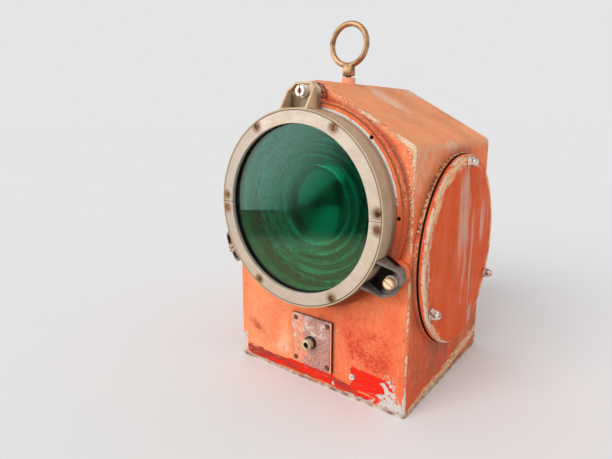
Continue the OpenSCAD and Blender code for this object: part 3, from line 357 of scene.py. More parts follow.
ORANGE = srgb(250, 126, 74)
ORANGE_DEEP = srgb(234, 96, 58)
ORANGE_DARK = srgb(208, 86, 54)
ORANGE_PALE = srgb(252, 168, 120)
ROOF_ORANGE = srgb(248, 166, 116)
CHALK = srgb(236, 202, 176)
CREAM = srgb(234, 204, 172)
PRIMER = srgb(204, 204, 200)
SIGNAL_RED = srgb(236, 40, 22)
SPECK_RED = srgb(216, 72, 46)
SPECK_TINT = srgb(232, 98, 62)
SPECK_DARK = srgb(186, 66, 48)
RED_DULL = srgb(152, 54, 44)
RED_SCRATCH = srgb(226, 150, 128)
RED_WORN = srgb(222, 62, 30)
RED_BROWN = srgb(172, 64, 42)
RUST = srgb(186, 70, 50)
# This brown colours both dirt and painted shade
GRIME_AND_SHADE = srgb(140, 82, 60)
MAUVE = srgb(158, 108, 92)
SCUFF = srgb(242, 202, 180)
FOOT_CREAM = srgb(250, 218, 180)
FOOT_TAN = srgb(204, 146, 104)


def gable_half(steps_wall, steps_arc, steps_roof):
    """Right half of the gable outline from foot to ridge: points and outward normals, one row each.

    The wall is a line, the eaves and the ridge are arcs about their centres, and the roof is the
    line that touches both arcs at the angle 90 degrees less the slope."""
    touch = math.pi / 2 - ROOF_SLOPE
    eave = np.linspace(0, touch, steps_arc, endpoint=False)
    ridge = np.linspace(touch, math.pi / 2, steps_arc + 1)
    slope_normal = np.array([math.cos(touch), math.sin(touch)])
    along = np.linspace(0, 1, steps_roof, endpoint=False)[:, None]
    roof_foot = np.array([ROOF_RUN, EAVE_CZ]) + EAVE_R * slope_normal
    roof_head = np.array([0, RIDGE_CZ]) + RIDGE_R * slope_normal
    wall_z = np.linspace(FOOT, EAVE_CZ, steps_wall, endpoint=False)
    eave_normal = np.column_stack([np.cos(eave), np.sin(eave)])
    ridge_normal = np.column_stack([np.cos(ridge), np.sin(ridge)])
    points = np.vstack([np.column_stack([np.full(steps_wall, HALF_W), wall_z]),
                        [ROOF_RUN, EAVE_CZ] + EAVE_R * eave_normal,
                        roof_foot * (1 - along) + roof_head * along,
                        [0, RIDGE_CZ] + RIDGE_R * ridge_normal])
    normals = np.vstack([np.tile([1.0, 0.0], (steps_wall, 1)), eave_normal,
                         np.tile(slope_normal, (steps_roof, 1)), ridge_normal])
    return points, normals


def grid_faces(rows, columns, closed=False):
    """Quads of a grid of points in rows, with its columns joined round if it is closed."""
    across = columns if closed else columns - 1
    row, column = np.meshgrid(np.arange(rows - 1), np.arange(across), indexing="ij")
    beside = (column + 1) % columns
    quads = [row * columns + column, row * columns + beside, (row + 1) * columns + beside,
             (row + 1) * columns + column]
    return np.stack([q.ravel() for q in quads], axis=1)


def spokes(loop, centre, radius, rings):
    """Surface from a closed loop in to a circle: point = circle (1 - t) + loop t, along each spoke."""
    way = loop - centre
    circle = centre + radius * way / np.linalg.norm(way, axis=1)[:, None]
    share = np.linspace(0, 1, rings + 1)[:, None, None]
    return circle * (1 - share) + loop * share


def join(parts):
    """Several pairs of points and faces as one pair."""
    starts = np.cumsum([0] + [len(points) for points, faces in parts])
    joined = [faces + start for (points, faces), start in zip(parts, starts)]
    return np.vstack([points for points, faces in parts]), np.vstack(joined)


half_line, half_normal = gable_half(WALL_STEPS, ARC_STEPS, ROOF_STEPS)
mirror_x = np.array([-1.0, 1.0])
gable_line = np.vstack([half_line, half_line[-2::-1] * mirror_x])
gable_normal = np.vstack([half_normal, half_normal[-2::-1] * mirror_x])
edge_turn = np.linspace(0, math.pi / 2, EDGE_STEPS + 1)
edge_depth = EDGE_R * (1 - np.cos(edge_turn))
edge_inset = EDGE_R * (1 - np.sin(edge_turn))
station_y = np.concatenate([edge_depth - HALF_D,
                            np.linspace(EDGE_R - HALF_D, HALF_D - EDGE_R, DEPTH_STEPS + 1)[1:-1],
                            HALF_D - edge_depth[::-1]])
station_inset = np.concatenate([edge_inset, np.zeros(DEPTH_STEPS - 1), edge_inset[::-1]])
drawn_in = gable_line[None] - station_inset[:, None, None] * gable_normal[None]
drawn_y = np.broadcast_to(station_y[:, None], drawn_in.shape[:2])
wrap = np.stack([drawn_in[..., 0], drawn_y, drawn_in[..., 1]], axis=-1)

foot_x = np.linspace(-1, 1, FOOT_STEPS + 1)[1:-1] * (HALF_W - EDGE_R)
foot_front = np.column_stack([foot_x, np.full_like(foot_x, -HALF_D), np.full_like(foot_x, FOOT)])
front_loop = np.vstack([wrap[0], foot_front])
back_loop = np.vstack([wrap[-1], foot_front * [1, -1, 1]])
first, last = EDGE_STEPS, EDGE_STEPS + DEPTH_STEPS
side_loop = np.vstack([wrap[first:last, 0], wrap[last, :WALL_STEPS], wrap[last:first:-1, WALL_STEPS],
                       wrap[first, WALL_STEPS:0:-1]])
patches = [spokes(front_loop, np.array([0, -HALF_D, LENS_Z]), LENS_HOLE_R, FRONT_RINGS),
           spokes(back_loop, np.array([0, HALF_D, BACK_HUB_Z]), 0.0, BACK_RINGS),
           spokes(side_loop, np.array([HALF_W, 0, COVER_Z]), COVER_HOLE_R, SIDE_RINGS)]
wrap_quads = grid_faces(*wrap.shape[:2])
wrap_row, wrap_column = np.divmod(wrap_quads[:, 0], wrap.shape[1])
in_side = (wrap_row >= first) & (wrap_row < last) & (wrap_column < WALL_STEPS)
shell_parts = [(wrap.reshape(-1, 3), wrap_quads[~in_side])]
for patch in patches:
    shell_parts.append((patch.reshape(-1, 3), grid_faces(*patch.shape[:2], closed=True)))
housing_paint = Finish("housing_paint")
housing = mesh_object("housing", *join(shell_parts), housing_paint, sharp=50)


def vertex_array(mesh, what="co"):
    """Vertex places in millimetres, or vertex normals, as an array with a row for each vertex."""
    values = np.empty(len(mesh.vertices) * 3)
    source = mesh.vertices if what == "co" else mesh.vertex_normals
    source.foreach_get("co" if what == "co" else "vector", values)
    return values.reshape(-1, 3) / (MM if what == "co" else 1.0)


def keep_number(mesh, name, values):
    """Keep one number for each vertex under a name that a finish can read."""
    kept = mesh.attributes.new(name, "FLOAT", "POINT")
    kept.data.foreach_set("value", np.clip(values, 0, 1).astype(np.float32))


def near(distance, reach):
    """1 at distance 0, falling off like a bell over reach."""
    return np.exp(-(distance / reach) ** 2)


def spot(across, along, reach):
    """1 in the middle of a round spot, falling off like a bell over reach."""
    return near(np.hypot(across, along), reach)


def spots(across, up, places):
    """Sum of drawn-out spots, each given as (across, up, width, height, reach, strength)."""
    return sum(strength * spot((across - middle) / width, (up - level) / height, reach)
               for middle, level, width, height, reach, strength in places)


def between(value, low, high, soft):
    """1 between two values, falling to 0 over soft on both sides."""
    return np.clip((value - low) / soft + 0.5, 0, 1) * np.clip((high - value) / soft + 0.5, 0, 1)


def waves(points, length, seed):
    """Smooth waves of about a length, from -1 to 1: four sines in directions drawn by the seed."""
    ways = np.random.default_rng(seed).normal(size=(4, 3))
    ways *= 2 * math.pi / length / np.linalg.norm(ways, axis=1)[:, None]
    return np.sin(points @ ways.T + np.arange(4) * 1.7).mean(axis=1)


# The walls wave a little, but not where other pieces are seated
skin = vertex_array(housing.data)
skin_normal = vertex_array(housing.data, "normal")
x, y, z = skin.T
lens_r = np.hypot(x, z - LENS_Z)
cover_r = np.hypot(y, z - COVER_Z)
on_front = y < EDGE_R / 2 - HALF_D
on_side = x > HALF_W - EDGE_R / 2
on_left = x < EDGE_R / 2 - HALF_W
on_back = y > HALF_D - EDGE_R / 2
off_roof = (RIDGE_TOP - np.abs(x) * math.tan(ROOF_SLOPE) - z) * math.cos(ROOF_SLOPE)
off_front, off_back, off_side = y + HALF_D, HALF_D - y, HALF_W - np.abs(x)
gland_off = np.maximum(np.abs(x) - GLAND_SEAT[0], np.abs(z - GLAND_Z) - GLAND_SEAT[1])
seats = np.minimum.reduce([np.where(on_front, np.abs(lens_r - COLLAR_SEAT_R) - SEAT_HALF_W, FAR_OFF),
                           np.where(on_front, gland_off, FAR_OFF),
                           np.where(on_side, np.abs(cover_r - COVER_SEAT_R) - SEAT_HALF_W, FAR_OFF),
                           z - FOOT - 2])
loose = np.clip(seats / 12, 0, 1)
skin += skin_normal * (waves(skin, 130, 3) * WAVE_HEIGHT * loose)[:, None]
housing.data.vertices.foreach_set("co", (skin * MM).ravel())

# Chips along the edges
broken = 0.85 + 0.7 * waves(skin, 46, 5)
edge_crest = EDGE_R * (math.sqrt(2) - 1)
below_eaves = z < EAVE_CZ + 12
roof_edge_front = near(np.hypot(off_front, off_roof) - edge_crest, 3.4)
roof_edge_back = near(np.hypot(off_back, off_roof) - edge_crest, 4)
upright_front = near(np.hypot(off_front, off_side) - edge_crest, 1.2) * below_eaves
upright_back = near(np.hypot(off_back, off_side) - edge_crest, 2.4) * below_eaves
eave_rise = (z - EAVE_CZ - 4) * 0.7
eave_off = np.hypot(off_side, z - EAVE_CZ - 5)
eave_corner = spot(off_front * 1.3, np.hypot(HALF_W - x, eave_rise), 19)
eave_patch = spot((y + 25) / 2.6, eave_off, 7) * (x > 0)
eave_line = near(eave_off, 7) * (x > 0)
chips = broken * (0.52 * roof_edge_front + 0.42 * roof_edge_back) + 0.28 * eave_corner
chips += (0.9 + 0.4 * waves(skin, 30, 7)) * (0.56 * upright_front + 0.5 * upright_back)
chips += 0.24 * spot(off_back * 1.3, np.hypot(off_side, eave_rise), 14)
chips += 0.5 * spot(np.hypot(off_back, off_side), z - FOOT, 15)
chips += 0.3 * near(z - FOOT, 4) * ~on_front
keep_number(housing.data, "chips", chips)

# Worn bands along the foot
side_top = np.interp(y, *SIDE_WORN_TOP)
side_band = on_side * between(z, side_top - 12, side_top + 2, 5)
side_band = side_band * np.interp(y, *SIDE_WORN_SHARE)
left_band = on_left * between(z, 6, 15 + 5 * waves(skin, 70, 15), 5) * between(y, -95, 80, 60) * 0.75
back_band = on_back * between(z, 4, 12 + 4 * waves(skin, 60, 17), 5) * between(x, -90, 40, 60) * 0.7
foot_bands = np.maximum.reduce([side_band, left_band, back_band])
keep_number(housing.data, "foot_band", foot_bands * (0.9 + 0.4 * broken) / 1.2)

# Pale flecks and scuffs
front_strip = on_front * near(off_side, 17) * between(z, 205, 330, 70) * (x > 0)
flecks = np.maximum.reduce([0.62 * front_strip, 0.75 * eave_corner, 0.6 * roof_edge_front])
keep_number(housing.data, "flecks", flecks)
off_flange = np.maximum(cover_r - FLANGE_R, 0)
side_scuffs = on_side * (0.8 * between(z, 245, 330, 50) + 0.42 * between(z, 15, 110, 40))
side_scuffs = side_scuffs * (1 - 0.75 * near(off_flange, 15))
back_scuffs = on_back * spots(x, z, BACK_SCUFFS)
left_scuffs = on_left * (0.55 * between(z, 230, 320, 60) + 0.5 * between(z, 20, 80, 40))
front_scuffs = on_front * spots(x, z, FRONT_SCUFFS)
scuffs = np.maximum.reduce([side_scuffs, 0.42 * eave_line, front_scuffs, back_scuffs, left_scuffs])
keep_number(housing.data, "scuffs", scuffs * np.interp(y, [-20, 70], [1.0, 0.3]))

# Chalk and sun fading, and painted light that makes the front paler, most on its left
on_roof = between(off_roof, -8, 7, 4)
roof_streak = spot((np.abs(x) - 38) / 1.8, y + 12 + 0.1 * (np.abs(x) - 38), 19)
roof_back = spot(np.abs(x) - 18, (y - 95) / 2, 17) + near(off_back, 13) * 1.6
keep_number(housing.data, "fade", on_roof * (1.1 * roof_streak + 0.6 * roof_back)
            + 0.34 * eave_corner + 0.8 * eave_patch + on_side * 0.18 * between(z, 250, 330, 50))
# Painted light: the front is paler all over and most on its left part, with a pale scuffed spot low on the
# left
front_pale_and_lit = on_front * (0.22 + 0.45 * near(x + 100, 70) + 0.4 * spot(x + 46, (z - 46) / 1.7, 15))
pale_side = on_side * 0.6 * between(z, 250, 330, 60) * np.interp(y, [0, 80], [1.0, 0.3])
keep_number(housing.data, "faded_and_lit", np.maximum.reduce([on_roof, front_pale_and_lit, pale_side]))

# Red paint along the front's foot, and bare metal in its corners
red_band = between(z, 6, np.interp(x, *RED_TOP), 4) * between(x, -119, 100, 4)
red_patch = between(z, 14, 42.6, 3) * between(x, 57, 113, 4)
keep_number(housing.data, "red", on_front * np.maximum(red_band * 0.9, red_patch))
dull_red = np.maximum(np.interp(x, *RED_DULL_SHARE), near(z - 7, 4) * 0.62)
keep_number(housing.data, "dull", on_front * dull_red)
bare_corner = np.minimum(np.clip((x - 92 - 0.45 * z) / 34 + 0.5, 0, 1), np.clip((54 - z) / 30, 0, 1))
bare_corner *= 1 - 0.85 * between(x, 116.5, 127, 3) * (z > 17)
bare_left = between(x, -HALF_W - 9, -120, 4) * between(z, 3, 35, 5)
bare_foot = between(z, 0, 6.5, 3) * (0.42 + 0.26 * (x > 20))
scratch = near(x - 33.5, 1.8) * between(z, 0, 25, 6) * 0.7
bare_marks = np.maximum.reduce([bare_corner, bare_left, bare_foot, scratch])
keep_number(housing.data, "bare", on_front * bare_marks)

# Red specks, a rust smudge, and grime that also carries painted shade
speck_field = on_front * between(x, 42, 112, 24) * between(z, 44, 98, 20) * (1 + 0.6 * waves(skin, 38, 9))
speck_marks = [speck_field, 0.85 * roof_edge_front, 0.7 * eave_corner,
               0.35 * on_front * between(z, 40, 120, 40) * (x > 30),
               on_back * spots(x, z, BACK_SPECKS), on_left * spots(y, z, LEFT_SPECKS)]
keep_number(housing.data, "specks", np.maximum.reduce(speck_marks))
keep_number(housing.data, "tint", speck_field)
smudge = spot((x + 101) / 2.3, z - 54 + 0.45 * (x + 101), 8)
keep_number(housing.data, "rust", on_front * smudge * 0.78)
# Painted shade, kept with the grime: browner under the bezel and in a dark line round the collar's foot
shade_under_bezel = on_front * near(lens_r - 124, 9) * (z < LENS_Z - 60) * 0.1
collar_foot_shade = on_front * near(lens_r - 127.5, 3.0) * np.interp(x, [0, 50], [0.2, 0.85])
# The side wall is browner near the side flange: partly dirt, partly painted shade
side_grime_and_shade = 0.24 + 0.75 * near(off_flange, 13) - 0.35 * between(z, 270, 330, 40)
side_grime_and_shade += 0.4 * between(z, 20, 75, 30)
side_grime_and_shade = on_side * np.interp(y, [-HALF_D, -85], [0.35, 1.0]) * side_grime_and_shade
roof_grime = on_roof * (0.22 + 0.3 * waves(skin, 75, 13)) * np.interp(y, [-90, 20, HALF_D], [0.35, 0.8, 1.0])
far_grime = (on_left | on_back) * (0.2 + 0.3 * near(z - FOOT, 45) + 0.3 * waves(skin, 80, 19))
grime_and_shade = np.maximum.reduce([side_grime_and_shade, shade_under_bezel, collar_foot_shade, roof_grime, far_grime])
keep_number(housing.data, "grime_and_shade", grime_and_shade + 0.45 * near(z - FOOT, 6) * on_side)


def worn_paint(finish, chips, fade, grime_and_shade, layers=(), faded_and_lit=0.0, cream=CREAM, grey=0.3):
    """Old orange paint in clouds: paler by sun fading, painted light and fade, browner by grime and painted
    shade, torn to primer by chips.

    layers holds (share, colour) for marks between the paint and the chips, and grey is the primer's
    share of grey."""
    cloud = finish.noise(95)
    wipe = finish.noise(24, detail=7, stretch=(1, 1, 5), shift=1.9)
    stain = finish.noise(22, detail=8, shift=6.6)
    blotch = finish.noise(5.5, detail=7, shift=3.1)
    fleck = finish.noise(1.8, detail=4, shift=5.2)
    grain = finish.noise(1.0, detail=4, shift=7.7)
    scuff = finish.noise(2.0, stretch=(1, 1, 7), shift=9.4)
    ragged = (blotch + fleck) * 0.5
    lively = 1.0 - faded_and_lit * 0.7
    chalky = stain.tear(fade, soft=0.35) * ragged.ramp(0.4, 0.55, 0.92)
    edged = ragged.tear(chips + 0.1, gain=2.6, soft=0.1)
    chipped = ragged.tear(chips, gain=2.6, soft=0.08)
    primer = finish.layer(cream, (grey, PRIMER), (fleck.ramp(0.5, 0.7, 0.5), GRIME_AND_SHADE))
    tone = finish.layer(ORANGE, (cloud.ramp(0.38, 0.64), ORANGE_DEEP),
                        (wipe.ramp(0.48, 0.74, 0.5), ORANGE_PALE),
                        (wipe.ramp(0.1, 0.5, 0.9) * faded_and_lit, ROOF_ORANGE),
                        (stain.ramp(0.5, 0.66, 0.5) * lively, ORANGE_DEEP),
                        (blotch.ramp(0.52, 0.68, 0.55) * lively, ORANGE_DARK),
                        (scuff.ramp(0.56, 0.7, 0.4), ORANGE_PALE),
                        (fleck.ramp(0.6, 0.72, 0.35) * lively, RED_BROWN),
                        (wipe.ramp(0.25, 0.7) * grime_and_shade, GRIME_AND_SHADE),
                        (chalky, CHALK), *layers, (edged * 0.5, RED_BROWN), (chipped, primer))
    finish.coat(tone, cloud.ramp(0.3, 0.7, 0.2) + 0.5, grain * 0.35 - chipped, depth=0.25, gloss=0.08)


paint_fleck = housing_paint.noise(3, detail=6, shift=5.3)
paint_drag = housing_paint.noise(4.5, detail=6, stretch=(6, 6, 1), shift=2.2)
paint_scratch = housing_paint.noise(1.8, stretch=(14, 14, 1), shift=6.4)
paint_run = housing_paint.noise(1.3, stretch=(1, 1, 8), shift=8.3)
paint_level = housing_paint.noise(2.6, detail=7, stretch=(1, 8, 1), shift=3.7)
paint_spray = housing_paint.noise(1.7, detail=4, shift=1.2)
bare_tear = housing_paint.noise(7, detail=9, shift=4.6)
red_streak = housing_paint.noise(7, stretch=(5, 5, 1), shift=4.1)
foot_grain = housing_paint.noise(1.4, stretch=(1, 4, 1), shift=5.9)
mottle = housing_paint.noise(9, detail=8, shift=7.1)
tint_cloud = housing_paint.noise(14, detail=7, shift=2.5)
grime_and_shade_share, bared, banded = (housing_paint.attribute(name) for name in ("grime_and_shade", "bare", "foot_band"))
specks = housing_paint.attribute("specks") * 0.5
dull = paint_scratch.tear(housing_paint.attribute("dull"), gain=2.2, soft=0.25)
red = housing_paint.layer(SIGNAL_RED, (dull, RED_DULL),
                          (paint_scratch.ramp(0.58, 0.7, 0.6) * dull, RED_SCRATCH),
                          (red_streak.ramp(0.5, 0.7, 0.55), RED_WORN))
scraped = housing_paint.off_line((EARTH_X, 0, EARTH_Z), "Y").band(0.0, EARTH_SCRAPED_R, 1.2)
scraped = scraped * housing_paint.axis("Y").ramp(8 - HALF_D, 4 - HALF_D)
bare = (bare_tear.tear(bared, gain=3.2, soft=0.08) * bared.ramp(0.04, 0.2)).most(scraped)
scuffed = paint_run.tear(housing_paint.attribute("scuffs") * 0.55, gain=2.0, soft=0.2)
foot_worn = paint_level.tear(banded, gain=3.2, soft=0.22) * banded.ramp(0.03, 0.22)
foot_tone = housing_paint.mix(foot_grain.ramp(0.42, 0.6), FOOT_TAN, FOOT_CREAM)
flecked = paint_spray.tear(housing_paint.attribute("flecks") * 0.55, gain=2.0, soft=0.1)
rusty = paint_fleck.tear(housing_paint.attribute("rust"), gain=1.3, soft=0.4)
housing_marks = [(mottle.ramp(0.48, 0.66, 0.6) * grime_and_shade_share, MAUVE),
                 (scuffed * 0.6, SCUFF),
                 (foot_worn, foot_tone),
                 (tint_cloud.ramp(0.3, 0.62, 0.6) * housing_paint.attribute("tint"), SPECK_TINT),
                 (paint_fleck.tear(specks, gain=1.5, soft=0.12), SPECK_RED),
                 (paint_spray.tear(specks, soft=0.12) * 0.4, SPECK_DARK),
                 (flecked, CREAM),
                 (paint_drag.tear(housing_paint.attribute("red"), soft=0.12), red),
                 (rusty.ramp(0.0, 1.0, 0.85), RUST)]
worn_paint(housing_paint, housing_paint.attribute("chips").most(bare), housing_paint.attribute("fade"), grime_and_shade_share,
           housing_marks, housing_paint.attribute("faded_and_lit"), grey=bare * 0.8)
inner_paint = Finish("inner_paint")
inner_stain = inner_paint.noise(60, detail=6).ramp(0.4, 0.75)
inner_paint.coat(inner_paint.mix(inner_stain, srgb(228, 224, 210), srgb(196, 180, 152)), 0.75)
housing.data.materials.append(inner_paint.material)
thick = housing.modifiers.new("wall", "SOLIDIFY")
thick.thickness = WALL_T * MM
thick.offset = -1.0
thick.use_even_offset = True
thick.material_offset = 1
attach(housing, "housing")
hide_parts("front_wall", "back_wall", "left_wall", "right_wall", "roof_left", "roof_right")

# Bosses: the round seat of the lifting eye on the ridge and the four inner corner bosses.
# They are cast with the housing, so the seat runs out into the roof in a soft fillet.
boss_low, boss_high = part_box("roof_boss")
BOSS_R = (boss_high.x - boss_low.x) / 2 / MM
BOSS_Y = (boss_low.y + boss_high.y) / 2 / MM
BOSS_TOP = boss_high.z / MM
BOSS_FOOT = boss_low.z / MM
BOSS_HOLE_R = 3.6
BOSS_FILLET = 5.0
FILLET_FOOT = RIDGE_TOP - 10
CORNER_R, CORNER_HOLE_R, CORNER_TOP = 9.0, 3.1, 24.0
CORNER_PLACE = (118.0, 111.0)


def lathe(profile, turns=96):
    """Turned surface: (r cos a, r sin a, h) over the profile's rows (r, h) and the angles a."""
    angle = np.linspace(0, 2 * math.pi, turns, endpoint=False)
    radius, height = np.asarray(profile, dtype=float).T
    points = np.stack([radius[:, None] * np.cos(angle), radius[:, None] * np.sin(angle),
                       np.broadcast_to(height[:, None], (len(height), turns))], axis=-1)
    return points.reshape(-1, 3), grid_faces(len(height), turns, closed=True)


def arc_rows(centre, radius, start, end, steps=6):
    """Rows (r, h) along an arc between two angles in degrees."""
    turn = np.radians(np.linspace(start, end, steps + 1))
    return np.column_stack([centre[0] + radius * np.cos(turn), centre[1] + radius * np.sin(turn)])


boss_rows = np.vstack([[[BOSS_HOLE_R, BOSS_FOOT], [BOSS_R, BOSS_FOOT], [BOSS_R, FILLET_FOOT - 6],
                        [BOSS_R + BOSS_FILLET, FILLET_FOOT]],
                       arc_rows((BOSS_R + BOSS_FILLET, FILLET_FOOT + BOSS_FILLET), BOSS_FILLET, 270, 180),
                       arc_rows((BOSS_R - 1, BOSS_TOP - 1), 1.0, 0, 90), [[BOSS_HOLE_R, BOSS_TOP]],
                       [[BOSS_HOLE_R, BOSS_FOOT]]])
boss_points, boss_faces = lathe(boss_rows, 64)
corner_rows = [[CORNER_HOLE_R, FOOT], [CORNER_R, FOOT], [CORNER_R, CORNER_TOP], [CORNER_HOLE_R, CORNER_TOP],
               [CORNER_HOLE_R, FOOT]]
corner_points, corner_faces = lathe(corner_rows, 32)
boss_parts = [(boss_points + [0, BOSS_Y, 0], boss_faces)]
for side, end in ((-1, -1), (-1, 1), (1, -1), (1, 1)):
    corner_shift = [side * CORNER_PLACE[0], end * CORNER_PLACE[1], 0]
    boss_parts.append((corner_points + corner_shift, corner_faces))
boss_paint = Finish("boss_paint")
boss_rim = boss_paint.axis("Z").band(BOSS_TOP - 2, BOSS_TOP + 2, 1.0)
worn_paint(boss_paint, boss_rim * 0.4, 0.4, 0.1, faded_and_lit=0.8)
bosses = mesh_object("bosses", *join(boss_parts), boss_paint, sharp=40)
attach(bosses, "housing")
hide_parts("roof_boss")

# Base plate: a flat alloy plate under the walls, screwed on from below with countersunk screws.
# Its edge is bare and grey where the paint has gone, with rust and dirt from the deck.
METAL_DULL = srgb(204, 186, 168)
METAL_DIRTY = srgb(146, 96, 74)
WELD_GAP = 0.004
BEVEL_FROM = math.radians(40)


def dress(names, finish, rounding=0.0):
    """Give nodes of the frame a finish, and round their edges by some tenths of a millimetre."""
    for name in names.split():
        part = nodes[name]
        for place in part.material_slots:
            place.material = finish.material
        if rounding:
            weld = part.modifiers.new("weld", "WELD")
            weld.merge_threshold = WELD_GAP * MM
            bevel = part.modifiers.new("round", "BEVEL")
            bevel.width = rounding * MM
            bevel.segments = 2
            bevel.limit_method = "ANGLE"
            bevel.angle_limit = BEVEL_FROM
            bevel.harden_normals = True


def stained_metal(name, clean, stained, metal, rough, size):
    """Metal that is clean in places and stained in others, in clouds of a size in millimetres."""
    finish = Finish(name)
    cloud = finish.noise(size, detail=7)
    grain = finish.noise(0.8, detail=3, shift=4.4)
    finish.coat(finish.mix(cloud.ramp(0.42, 0.66), clean, stained), cloud.ramp(0.3, 0.7, 0.3) + rough,
                grain, depth=0.04, metal=metal)
    return finish


base_metal = stained_metal("base_metal", METAL_DULL, METAL_DIRTY, metal=0.1, rough=0.6, size=12)
dress("base_plate", base_metal, 0.5)
dull_steel = stained_metal("dull_steel", srgb(150, 148, 142), srgb(104, 84, 68), metal=0.8, rough=0.35,
                           size=6)
dress("base_screws", dull_steel)

# Front collar: the cast flange that the lens unit is bolted to, with three ears and tapped holes.
# The paint is rubbed white where the bezel meets it. A brown line round its outer edge, strongest in the
# outer corner, is partly dirt and partly painted shade; its root, ears, right side and tapped holes are
# darkened as painted shade.
COLLAR_R = 126.0
BEZEL_R = 117.0
COLLAR_HOLE_R = 119.5
COLLAR_HOLE_TURNS = np.arange(8) * 45


def round_lens(finish, radius, turns, inner, outer):
    """1 within inner of places on a circle about the lens, at turns in degrees, and 0 beyond outer."""
    share = 0.0
    for turn in np.radians(turns):
        place = (radius * math.cos(turn), 0, LENS_Z + radius * math.sin(turn))
        share = (1.0 - finish.off_line(place, "Y").ramp(inner, outer)).most(share)
    return share


collar_paint = Finish("collar_paint")
collar_away = collar_paint.off_line((0, 0, LENS_Z), "Y")
collar_x, collar_y, collar_z = (collar_paint.axis(name) for name in "XYZ")
collar_corner = (collar_x + collar_z).ramp(LENS_Z + 110, LENS_Z + 150, 0.8)
collar_upper = collar_z.ramp(LENS_Z - 10, LENS_Z + 45)
collar_rub = collar_away.band(BEZEL_R - 4, BEZEL_R + 1.6, 0.7) * (collar_upper * 0.4 + 0.26)
collar_white = collar_away.band(BEZEL_R - 4, BEZEL_R + 2.6, 0.8) * collar_corner
# A brown line round the collar's outer edge, strongest in the upper right corner: partly dirt, partly painted
# shade
collar_edge_dirt_and_shade = collar_away.band(COLLAR_R - 3.2, COLLAR_R - 0.8, 1.0) * (collar_corner * 0.4 + 0.55)
collar_ear = collar_away.ramp(COLLAR_R + 1, COLLAR_R + 3)
# Painted shade: the root against the front wall is browned, and the tapped holes are filled near-black
collar_root_shade = collar_y.ramp(-HALF_D - 4, -HALF_D - 0.5)
collar_hole_shade = round_lens(collar_paint, COLLAR_HOLE_R, COLLAR_HOLE_TURNS, 2.0, 2.5)
collar_spray = collar_away.ramp(COLLAR_R - 9, COLLAR_R - 0.3) * collar_corner * 0.42
collar_pale = collar_paint.noise(2.0, shift=3.8).tear(collar_spray, gain=2.0, soft=0.12)
collar_red = collar_paint.noise(3.6, detail=6, shift=8.2).tear(collar_spray, gain=1.8, soft=0.12)
# Painted shade: the collar is darker red at its right side, darker still under the bezel at its lower right,
# and dark red-brown on its ears
collar_right_shade = collar_x.ramp(30, 80) * (1.0 - collar_upper) * (1.0 - collar_ear)
collar_under_shadow = collar_x.ramp(0, 40) * collar_z.ramp(LENS_Z - 50, LENS_Z - 95, 0.7)
collar_shaded = collar_paint.noise(6, detail=7, shift=6.1).tear(collar_ear * (collar_upper * 0.5 + 0.16))
collar_marks = [(collar_right_shade * 0.5, srgb(164, 60, 34)),
                (collar_under_shadow, srgb(122, 46, 26)),
                (collar_shaded, srgb(122, 50, 38)),
                (collar_red, srgb(206, 66, 40)),
                (collar_pale, srgb(238, 204, 172)),
                (collar_edge_dirt_and_shade, srgb(122, 72, 46)),
                (collar_hole_shade, srgb(16, 12, 10))]
worn_paint(collar_paint, collar_rub.most(collar_white) - collar_hole_shade, 0.1, collar_root_shade, collar_marks,
           cream=srgb(242, 234, 222))
dress("front_collar", collar_paint, 0.6)

# Stepped lens: a pressed clear glass with a bull's-eye and rings round it, flat at the back.
# It lies in the collar on a rubber ring, and a wire spring ring holds it.
lens_low, lens_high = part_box("step_lens")
LENS_R = (lens_high.x - lens_low.x) / 2 / MM
LENS_BACK = -lens_high.y / MM - HALF_D
LENS_RIM = LENS_BACK + 6.0
LENS_BULL_R, LENS_ZONE_R, LENS_ZONES = 49.0, 98.0, 4
LENS_CURVE_R = 90.0
CROWN_GLASS_BEND = 1.5


def on_front_face(points):
    """Local x, y and height as places on the front: height forwards from the front wall."""
    return np.column_stack([points[:, 0], -HALF_D - points[:, 2], LENS_Z + points[:, 1]])


zone_edges = np.linspace(LENS_BULL_R, LENS_ZONE_R, LENS_ZONES + 1)
zone_rows = [[[LENS_R, LENS_RIM]]]
for inner, outer in zip(np.append(zone_edges[-2::-1], 0.0), zone_edges[::-1]):
    zone_r = np.linspace(outer, inner, 14)
    zone_rows.append(np.column_stack([zone_r, LENS_RIM + (outer ** 2 - zone_r ** 2) / (2 * LENS_CURVE_R)]))
lens_rows = np.vstack([[[0, LENS_BACK], [LENS_R, LENS_BACK]], *zone_rows])
lens_points, lens_faces = lathe(lens_rows, 160)
clear_glass = Finish("clear_glass")
clear_dust = clear_glass.noise(20, detail=6).ramp(0.5, 0.8, 0.06)
clear_glass.coat(clear_glass.mix(clear_glass.noise(40), srgb(236, 244, 240), srgb(226, 240, 232)), clear_dust)
clear_glass.clear(1.0, CROWN_GLASS_BEND)
lens_glass = Finish("lens_glass")
# The ring edges are frosted: partly real ground risers, partly painted highlight that stands in for bright
# arcs of light
lens_frost_and_highlight = lens_glass.attribute("groove") * lens_glass.noise(35, detail=4, shift=2.4).ramp(0.25, 0.7)
lens_tone = lens_glass.mix(lens_frost_and_highlight, srgb(244, 250, 247), srgb(226, 224, 206))
lens_glass.coat(lens_tone, lens_frost_and_highlight.ramp(0.0, 1.0, 0.5))
lens_glass.clear(1.0 - lens_frost_and_highlight, CROWN_GLASS_BEND)
lens = mesh_object("stepped_lens", on_front_face(lens_points), lens_faces, lens_glass, sharp=25)
pane = vertex_array(lens.data)
pane_r = np.hypot(pane[:, 0], pane[:, 2] - LENS_Z)
pane_front = pane[:, 1] < -HALF_D - LENS_RIM + 0.5
groove_off = np.abs(pane_r[:, None] - zone_edges).min(axis=1)
pane_turn = np.degrees(np.arctan2(pane[:, 2] - LENS_Z, pane[:, 0]))
